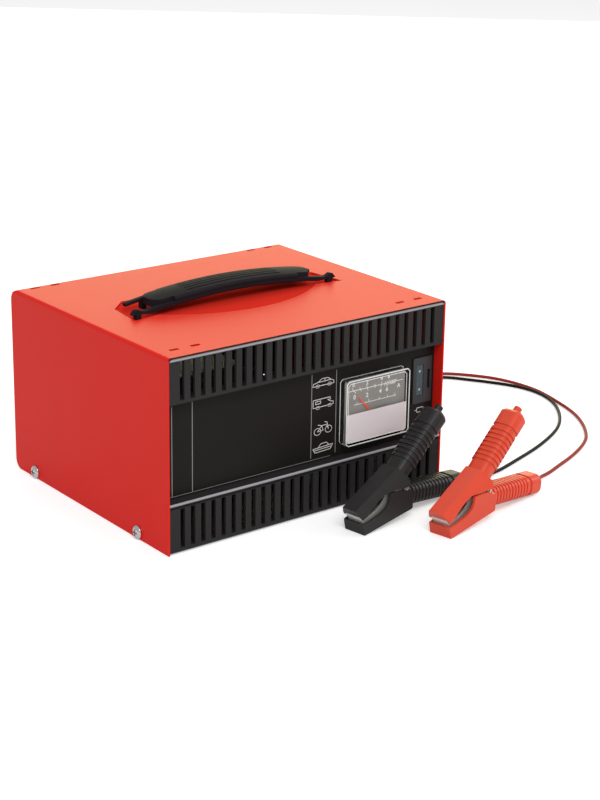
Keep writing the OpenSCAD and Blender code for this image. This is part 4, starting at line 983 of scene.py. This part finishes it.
@dataclass
class Lead:
    """One charging lead: gland, drop, tied coil, floor and clamp.

    Attributes:
        name: Piece's name.
        finish: Its sheath.
        exit_x: X of its exit at the rear gland.
        way: 1 for a coil wound anticlockwise, -1 for clockwise.
        start: Angle in degrees where the coil begins.
        turns: Turns in the coil.
        route: Points on the floor from the coil to the clamp; a third number is a height.
        clamp: The clamp that it ends in.
        replaced: Frame nodes that it stands for.
    """

    name: str
    finish: Finish
    exit_x: float
    way: int
    start: float
    turns: float
    route: list[tuple[float, ...]]
    clamp: ClampPlace
    replaced: tuple[str, str]
    diameter: float = 2.2
    coil_r: float = 13.0
    pitch: float = 2.8
    layers: int = 4
    exit_y: float = 84.3
    exit_z: float = 40.0
    coil_y: float = 126.0
    coil_top: float = 10.2
    drop: tuple[Flat, ...] = (
        (88, 40), (92, 39.4), (96, 37.4), (100, 33.5), (104.5, 27.5), (108.5, 21), (112.5, 15), (116.5, 11.3),
    )

    def coil(self) -> list[Vector]:
        """Return the coil's path, with a straight diameter at each end."""
        per = self.turns / self.layers
        reach = self.coil_r + per * self.pitch / 2
        centre = Vector((self.exit_x - self.way * reach, self.coil_y, 0))
        steps = round(self.turns * 32)
        run = []
        for k in range(steps + 1):
            u = self.turns * k / steps
            layer = min(self.layers - 1, int(u / per))
            inward = u - layer * per
            radius = self.coil_r + self.pitch * (per / 2 - inward if layer % 2 == 0 else inward - per / 2)
            fallen = sum(ramp((u - n * per + 0.25) / 0.5) for n in range(1, self.layers))
            a = math.radians(self.start) + self.way * 2 * math.pi * u
            level = self.coil_top - self.pitch * fallen
            run.append(centre + Vector((radius * math.cos(a), radius * math.sin(a), level)))
        for index, other in ((0, 1), (-1, -2)):
            a = math.radians(self.start) + (0 if index == 0 else self.way * 2 * math.pi * self.turns)
            ahead = self.way * Vector((-math.sin(a), math.cos(a), 0))
            end = run[index] + (-ahead if index == 0 else ahead) * self.diameter
            run.insert(0, end) if index == 0 else run.append(end)
        return run

    def path(self) -> list[Vector]:
        """Return the lead's whole path from its gland to its crimp."""
        coil = self.coil()
        straight = (coil[-1] - coil[-2]).normalized()
        first = [(self.exit_x, self.exit_y, self.exit_z)]
        first += [(self.exit_x, y, z) for y, z in self.drop]
        first += [coil[0] - Vector((0, 1.5 * self.diameter, 0)), coil[0]]
        lay = self.diameter / 2 + 0.1
        last = [coil[-1], coil[-1] + 1.5 * self.diameter * straight]
        last += [(p[0], p[1], p[2] if len(p) > 2 else lay) for p in self.route]
        tip = self.clamp.handle
        last += [self.clamp.axis(along) for along in (tip + 4, tip + 1, tip - 10, 36.0, 17.0)]
        return [*spline(first, 4), *coil[1:-1], *spline(last, 5)]

    def build(self) -> bpy.types.Object:
        """Make the lead as one tube.

        Returns:
            The tube.
        """
        sketch = Sketch()
        sketch.tube(self.path(), self.diameter / 2, 12)
        return put(sketch.piece(self.name, 50), Body.CHARGER, self.finish, *self.replaced)

    def declare(self, piece: bpy.types.Object, clamp: Sequence[bpy.types.Object]) -> None:
        """Args:
            piece: The tube; not used.
            clamp: Pieces of the clamp; not used.
        """
        path = self.path()


def ramp(x: float) -> float:
    """Return a smooth step from 0 to 1."""
    c = max(0.0, min(1.0, x))
    return c * c * (3 - 2 * c)


RED_CLAMP = ClampPlace((42.3, -150.9), 11.5)
BLACK_CLAMP = ClampPlace((5.6, -118.5))
LEADS = (
    Lead(
        "red_lead_sheath", Finishes.SHEATH_RED, 64.0, -1, 180.0, 8 + 1 / 3,
        [
            (99, 134, 1.5), (117, 123), (137, 111), (158, 99.5), (180, 89), (202, 80), (222, 73),
            (239, 65), (247, 57.5), (254, 48.5), (260.5, 38), (264.8, 26), (267, 13), (267.4, 0),
            (265.4, -13),
            (262, -26), (258, -39.5), (253, -52), (246, -64.5), (236, -78), (224, -90), (209, -99.5),
            (192, -107.5),
            (176, -113.5), (161, -119), (150.2, -122.9, 2.2), (143, -127.7, 3.8),
        ],
        RED_CLAMP, ("red_lead", "red_lead_coil"),
    ),
    Lead(
        "black_lead_sheath", Finishes.SHEATH_BLACK, 56.0, 1, 0.0, 8.7,
        [
            (48, 105.5, 1.5), (66, 99.5), (88, 95), (112, 91.5), (136, 88.5), (160, 84.5), (182, 79),
            (202, 73),
            (220, 66), (234, 58), (244.5, 44), (253, 31), (259.5, 19), (263.6, 7), (264.4, -5), (262, -17),
            (256.4, -29.5), (248, -41.5), (238, -52.5), (227.5, -61.5), (214, -70), (189, -81.5),
            (161, -91), (137, -98),
            (118, -101.5, 2.6),
        ],
        BLACK_CLAMP, ("black_lead", "black_lead_coil"),
    ),
)


# --- Case ---

@dataclass
class Case:
    """Folded cover, tray, panels, glands and screws."""

    edge: float = 0.25
    top: float = 115.0
    recess_floor: float = 113.5
    low_bead: float = 29.1

    def in_recess(self, at: Vector) -> bool:
        """Return whether a point in millimetres lies in the pressed recess."""
        return abs(at.x) < 77 and -16 < at.y < 23 and self.recess_floor - 0.3 < at.z < self.top - 0.2

    def on_front_edge(self, at: Vector) -> bool:
        """Return whether a point lies on the front edge of the cover's top."""
        return at.y < -84.6 and at.z > self.top - 1.3

    def on_bead(self, at: Vector) -> bool:
        """Return whether a point lies on a panel's bead."""
        return abs(at.y) > 84.25 and any(bead - 0.5 < at.z < bead + 0.95 for bead in (112.9, self.low_bead))

    def press_recess(self, work: bmesh.types.BMesh) -> None:
        """Draw the foot of the recess's wall inwards, and part the front edge's face.

        Args:
            work: The cover's mesh.
        """
        everything = work.verts[:] + work.edges[:] + work.faces[:]
        cut = (0, 0, (self.top - 1.2) * MM)
        bmesh.ops.bisect_plane(work, geom=everything, plane_co=cut, plane_no=(0, 0, 1))
        for vert in work.verts:
            at = vert.co / MM
            if abs(at.z - self.recess_floor) > 0.05 or not self.in_recess(at):
                continue
            if any(abs(e.other_vert(vert).co.z / MM - self.top) < 0.05 for e in vert.link_edges):
                vert.co.x -= math.copysign(min(3.0, abs(at.x) * 0.04), at.x) * MM
                vert.co.y -= math.copysign(1.2, at.y - 3.0) * MM

    def build(self) -> None:
        """Dress the case's pieces."""
        cover = dressed(
            "cover_folded", "cover_shell", 0.3, Body.CHARGER, Finishes.POWDER_RED, "red_paint",
            shape=self.press_recess
        )
        # The recess gets a darker red: painted shade
        part_painted(cover, Finishes.POWDER_RED_PAINTED_SHADE, self.in_recess)
        # The top's front edge gets the painted shade of the gap above the panel
        part_painted(cover, Finishes.POWDER_EDGE_PAINTED_SHADE, self.on_front_edge)
        for side in ("front", "rear"):
            node = f"{side}_panel"
            panel = dressed(f"{node}_moulded", node, self.edge, Body.CHARGER, Finishes.ABS_PANEL,
                "panel_abs", whole=False)
            # The beads get a light grey painted highlight
            part_painted(panel, Finishes.ABS_BEAD_PAINTED_HIGHLIGHT, self.on_bead)
        dressed("side_screws", "cover_screws", 0.15, Body.CHARGER, Finishes.CHROME_STEEL, "screw_chrome")
        for node in ("mains_gland", "lead_gland"):
            dressed(f"{node}_moulded", node, 0.5, Body.CHARGER, Finishes.RUBBER_GLAND, "gland_rubber")


@dataclass
class Handle:
    """Moulded grip on its two straps."""

    def build(self) -> None:
        """Dress the grip and the straps."""
        for name, node, width in (("grip_moulded", "handle_grip", 0.5),
            ("straps_moulded", "handle_straps", 0.4)):
            dressed(name, node, width, Body.HANDLE, Finishes.PP_HANDLE, "handle_abs")


# --- Ammeter, label and fuse ---

@dataclass
class Ammeter:
    """Clear cover with its printed dial and pointer.

    Attributes:
        middle: X and Z of the cover's middle.
        pivot: X and Z of the pointer's pivot.
        ink_y: Y of the ink on the dial's face.
    """

    middle: Flat = (49.5, 57.0)
    pivot: Flat = (49.5, 49.5)
    ink_y: float = -81.33

    def build(self) -> None:
        """Dress the cover, lay the painted highlights of its rims and print the scales."""
        clear = Finishes.CLEAR_STYRENE
        dressed("meter_cover_clear", "meter_cover", 0.8, Body.CHARGER, clear, "clear_styrene", segments=3)
        self.rims()
        self.scales()

    def rims(self) -> None:
        """Lay near-white tubes on the cover's rims as painted highlights."""
        sketch = Sketch()
        rims = ((24.0, 19.9, -84.45, 0.34), (24.0, 19.9, -78.3, 0.26), (22.3, 18.2, -83.6, 0.2))
        for half_w, half_h, y, radius in rims:
            corners = [(half_w - 1.6, half_h), (half_w, half_h - 1.6)]
            loop = [(x, z) for x, z in corners]
            loop += [(x, -z) for x, z in reversed(corners)]
            loop += [(-x, -z) for x, z in corners]
            loop += [(-x, z) for x, z in reversed(corners)]
            loop.append(loop[0])
            path = [Vector((self.middle[0] + x, y, self.middle[1] + z)) for x, z in loop]
            sketch.tube(path, radius, 8)
        # The tubes are opaque near-white: painted highlights on the rims
        put(sketch.piece("meter_cover_rim_highlights", 60), Body.CHARGER, Finishes.STYRENE_RIM_PAINTED_HIGHLIGHT, slot="clear_styrene")

    def on_dial(self, x: float, z: float) -> Point:
        """Return a point of the dial's printed face."""
        return x, self.ink_y, z

    def scales(self) -> None:
        """Print the two scale lines, their ticks and their numbers."""
        sketch = Sketch()
        px, pz = self.pivot
        line_z, low_z = 69.7, 60.8
        sketch.stroke([(28.5, line_z), (70.5, line_z)], 0.45, self.on_dial)
        sketch.stroke([(33.5, low_z), (65.5, low_z)], 0.4, self.on_dial)
        marks = ((33.0, "0"), (43.2, "2"), (54.0, "4"), (59.4, "6"), (63.2, "8"))
        for x in (33.0, 38.0, 43.2, 49.0, 54.0, 56.8, 58.2, 59.4, 60.6, 61.7, 62.6, 63.4, 64.2, 65.0):
            tall = 1.6 if any(x == m for m, _ in marks) else 1.1
            lean = (x - px) / (line_z - pz)
            sketch.stroke([(x - lean * tall, line_z - tall), (x + lean * tall, line_z + tall)], 0.4,
                self.on_dial)
        for x, text in marks[:4]:
            sketch.figure(text, 2.5, (x * 1.02 - 1.0, line_z + 3.7), self.on_dial)
            sketch.figure(text, 2.7, (x * 0.94 + 2.6, line_z - 4.0), self.on_dial)
        sketch.figure("A", 2.6, (67.6, line_z - 3.4), self.on_dial)
        for x in (35.5, 44.5, 52.5, 59.0, 64.5):
            sketch.stroke([(x, low_z), (x, low_z + 1.4)], 0.35, self.on_dial)
        put(sketch.piece("dial_scales"), Body.CHARGER, Finishes.INK_WHITE, slot="label_film")


@dataclass
class FrontLabel:
    """Printed film of the sunk field: ruled lines and small pictures of vehicles.

    Attributes:
        film_y: Y of the film's face.
    """

    film_y: float = -77.8

    def on_film(self, x: float, z: float) -> Point:
        """Return a point of the film's printed face."""
        return x, self.film_y - 0.03, z

    def build(self) -> None:
        """Print the lines and the pictures."""
        grey = Sketch()
        for x, low, high in ((-92.7, 31.5, 84.0), (-79.1, 31.5, 84.3), (4.5, 32.7, 83.7), (22.7, 32.7, 83.6)):
            grey.stroke([(x, low), (x, high)], 0.45, self.on_film)
        grey.stroke([(-94.0, 31.3), (19.0, 31.3)], 0.3, self.on_film)
        put(grey.piece("label_rules"), Body.CHARGER, Finishes.INK_GREY, slot="label_film")
        white = Sketch()
        for middle, share, lines in PICTURES:
            for points in lines:
                white.stroke([(x, middle + (z - middle) * share) for x, z in points], 0.38, self.on_film)
        put(white.piece("label_pictures"), Body.CHARGER, Finishes.INK_WHITE, slot="label_film")


def ring(x: float, z: float, r: float, count: int = 12) -> list[Flat]:
    """Return a closed ring of flat points."""
    angles = [2 * math.pi * k / count for k in range(count + 1)]
    return [(x + r * math.cos(a), z + r * math.sin(a)) for a in angles]


# Each picture's middle height, its share of its drawn height and its lines
PICTURES: list[tuple[float, float, list[list[Flat]]]] = [
    # Saloon car
    (77.6, 0.6, [
        [(5.2, 75.6), (5.6, 78.2), (9.0, 79.2), (11.8, 82.2), (16.2, 82.2), (18.8, 79.4), (20.6, 78.2),
            (20.8, 75.4), (5.2, 75.4)],
        [(9.6, 79.2), (18.4, 79.4)], [(14.0, 79.2), (14.1, 82.2)], ring(8.8, 75.2, 1.5),
        ring(17.6, 75.4, 1.5),
    ]),
    # Camper
    (65.3, 0.65, [
        [(5.6, 62.0), (5.6, 69.4), (18.4, 69.6), (18.4, 67.6), (16.4, 67.4), (19.0, 65.4), (20.6, 64.8),
            (20.6, 62.4), (5.6, 62.0)],
        [(7.4, 65.2), (11.2, 65.4), (11.2, 67.8), (7.4, 67.6), (7.4, 65.2)], ring(9.2, 61.6, 1.4),
        ring(18.0, 62.0, 1.4),
    ]),
    # Motorcycle
    (50.0, 0.85, [
        ring(9.2, 47.8, 2.5), ring(17.4, 48.2, 2.5), [(9.2, 47.8), (12.4, 51.6), (15.6, 51.8), (17.4, 48.2)],
        [(9.6, 52.6), (12.4, 51.6), (13.4, 48.2), (9.2, 47.8)], [(14.6, 54.0), (16.2, 53.4), (17.4, 48.2)],
    ]),
    # Motor boat
    (37.4, 0.6, [
        [(6.0, 38.0), (20.8, 39.4), (19.0, 34.6), (7.6, 33.8), (6.0, 38.0)],
        [(9.8, 38.5), (12.0, 42.0), (16.0, 42.4), (18.0, 39.2)], [(7.0, 36.2), (20.2, 37.2)],
    ]),
    # Fuse sign
    (45.8, 1.0, [
        [(84.6, 45.8), (86.0, 45.8)], [(91.0, 45.8), (92.4, 45.8)],
        [(86.0, 44.4), (91.0, 44.4), (91.0, 47.2), (86.0, 47.2), (86.0, 44.4)],
    ]),
]


@dataclass
class FuseHolder:
    """Holder, fuse and contacts."""

    def points(self) -> None:
        """Set the two bright test points in the fuse's face."""
        sketch = Sketch()
        for z in (59.2, 70.8):
            rings = [(0.95, 0.0), (0.85, 0.25), (0.45, 0.38), (0.1, 0.4)]
            sketch.lathe(rings, lambda u, v, w, z=z: (86.8 + u, -78.3 - w, z + v), 16)
        put(sketch.piece("fuse_test_points"), Body.FUSE, Finishes.ZINC_BLADE, slot="zinc_blade")

    def build(self) -> None:
        """Dress the holder and the fuse."""
        self.points()
        dressed("fuse_holder_moulded", "fuse_holder", 0.3, Body.CHARGER, Finishes.NYLON_DARK, "holder_nylon")
        dressed("fuse_body_moulded", "fuse_body", 0.35, Body.FUSE, Finishes.FUSE_BLUE, "fuse_blue")


# --- Clamps ---

@dataclass
class Clamp:
    """One sprung clamp.

    Attributes:
        name: "red" or "black".
        place: Where it lies.
        finish: Its soft covers.
        upper: Body of the half that opens.
    """

    name: str
    place: ClampPlace
    finish: Finish
    upper: Body

    def build(self) -> list[bpy.types.Object]:
        """Dress the covers and the jaws.

        Returns:
            All the clamp's pieces.
        """
        slot = f"clamp_{self.name}_pvc"
        made = [bpy.data.objects[f"{self.name}_{node}"] for node in ("rivet", "spring")]
        for half, body in (("lower", Body.CHARGER), ("upper", self.upper)):
            side = f"{self.name}_{half}"
            made.append(dressed(f"{side}_boot", f"{side}_cover", 0.6, body, self.finish, slot))
            made.append(dressed(f"{side}_steel", f"{side}_jaw", 0.15, body, Finishes.NICKEL_STEEL,
                "jaw_steel"))
        return made


# --- What stays as the frame has it ---

KEPT: dict[str, Finish] = {
    "base_tray": Finishes.ZINC_SHEET,
    "front_label": Finishes.FILM_BLACK,
    "meter_case": Finishes.ABS_PANEL,
    "meter_dial": Finishes.DIAL_GREY,
    "meter_screen": Finishes.FROSTED_STYRENE,
    "meter_coil": Finishes.COPPER_WINDING,
    "meter_bridge": Finishes.BRASS,
    "meter_studs": Finishes.BRASS,
    "meter_hairspring": Finishes.BRASS,
    "meter_pointer": Finishes.LACQUER_ORANGE,
    "meter_spindle": Finishes.BRIGHT_STEEL,
    "fuse_contacts": Finishes.TINNED_BRASS,
    "fuse_blades": Finishes.ZINC_BLADE,
    "transformer_core": Finishes.LAMINATED_STEEL,
    "transformer_bobbin": Finishes.NYLON_NATURAL,
    "primary_winding": Finishes.COPPER_WINDING,
    "secondary_winding": Finishes.COPPER_WINDING,
    "transformer_bracket": Finishes.ZINC_SHEET,
    "transformer_bolts": Finishes.BRIGHT_STEEL,
    "rectifier_heatsink": Finishes.EXTRUDED_ALLOY,
    "bridge_rectifier": Finishes.EPOXY_BLACK,
    "thermal_cutout": Finishes.BRIGHT_STEEL,
    "control_board": Finishes.SOLDER_RESIST,
    "board_thyristor": Finishes.EPOXY_BLACK,
    "board_components": Finishes.SLEEVE_BLUE,
    "board_standoffs": Finishes.BRIGHT_STEEL,
    "m3_screws": Finishes.BRIGHT_STEEL,
    "terminal_block": Finishes.NYLON_NATURAL,
    "mains_wires": Finishes.WIRE_BROWN,
    "secondary_wires": Finishes.WIRE_YELLOW,
    "output_wires": Finishes.WIRE_RED,
    "red_rivet": Finishes.NICKEL_STEEL,
    "black_rivet": Finishes.NICKEL_STEEL,
    "red_spring": Finishes.SPRING_STEEL,
    "black_spring": Finishes.SPRING_STEEL,
    "coil_ties": Finishes.TIE_NYLON,
}


def dress_kept(kept: dict[str, Finish]) -> None:
    """Give the frame's own nodes their finishes.

    Args:
        kept: Finish of each node that keeps its frame shape.
    """
    for node, finish in kept.items():
        shown = bpy.data.objects[node]
        if not shown.data.materials:
            shown.data.materials.append(None)
        for held in shown.material_slots:
            held.material = finish.material()


def main() -> None:
    """Build the scene and log each part as it is built."""
    logging.basicConfig(level=logging.INFO, format="%(name)s: %(message)s")
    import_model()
    bpy.context.scene.view_settings.view_transform = "Standard"
    Studio().build()
    sheaths = [lead.build() for lead in LEADS]
    clamps = (
        Clamp("red", RED_CLAMP, Finishes.PVC_RED, Body.RED_UPPER),
        Clamp("black", BLACK_CLAMP, Finishes.PVC_BLACK, Body.BLACK_UPPER),
    )
    for lead, sheath, clamp in zip(LEADS, sheaths, clamps):
        lead.declare(sheath, clamp.build())
    for part in (Case(), Handle(), Ammeter(), FrontLabel(), FuseHolder()):
        part.build()
        LOG.info("built %s", type(part).__name__)
    dress_kept(KEPT)
    bpy.context.view_layer.update()


if __name__ == "__main__":
    main()
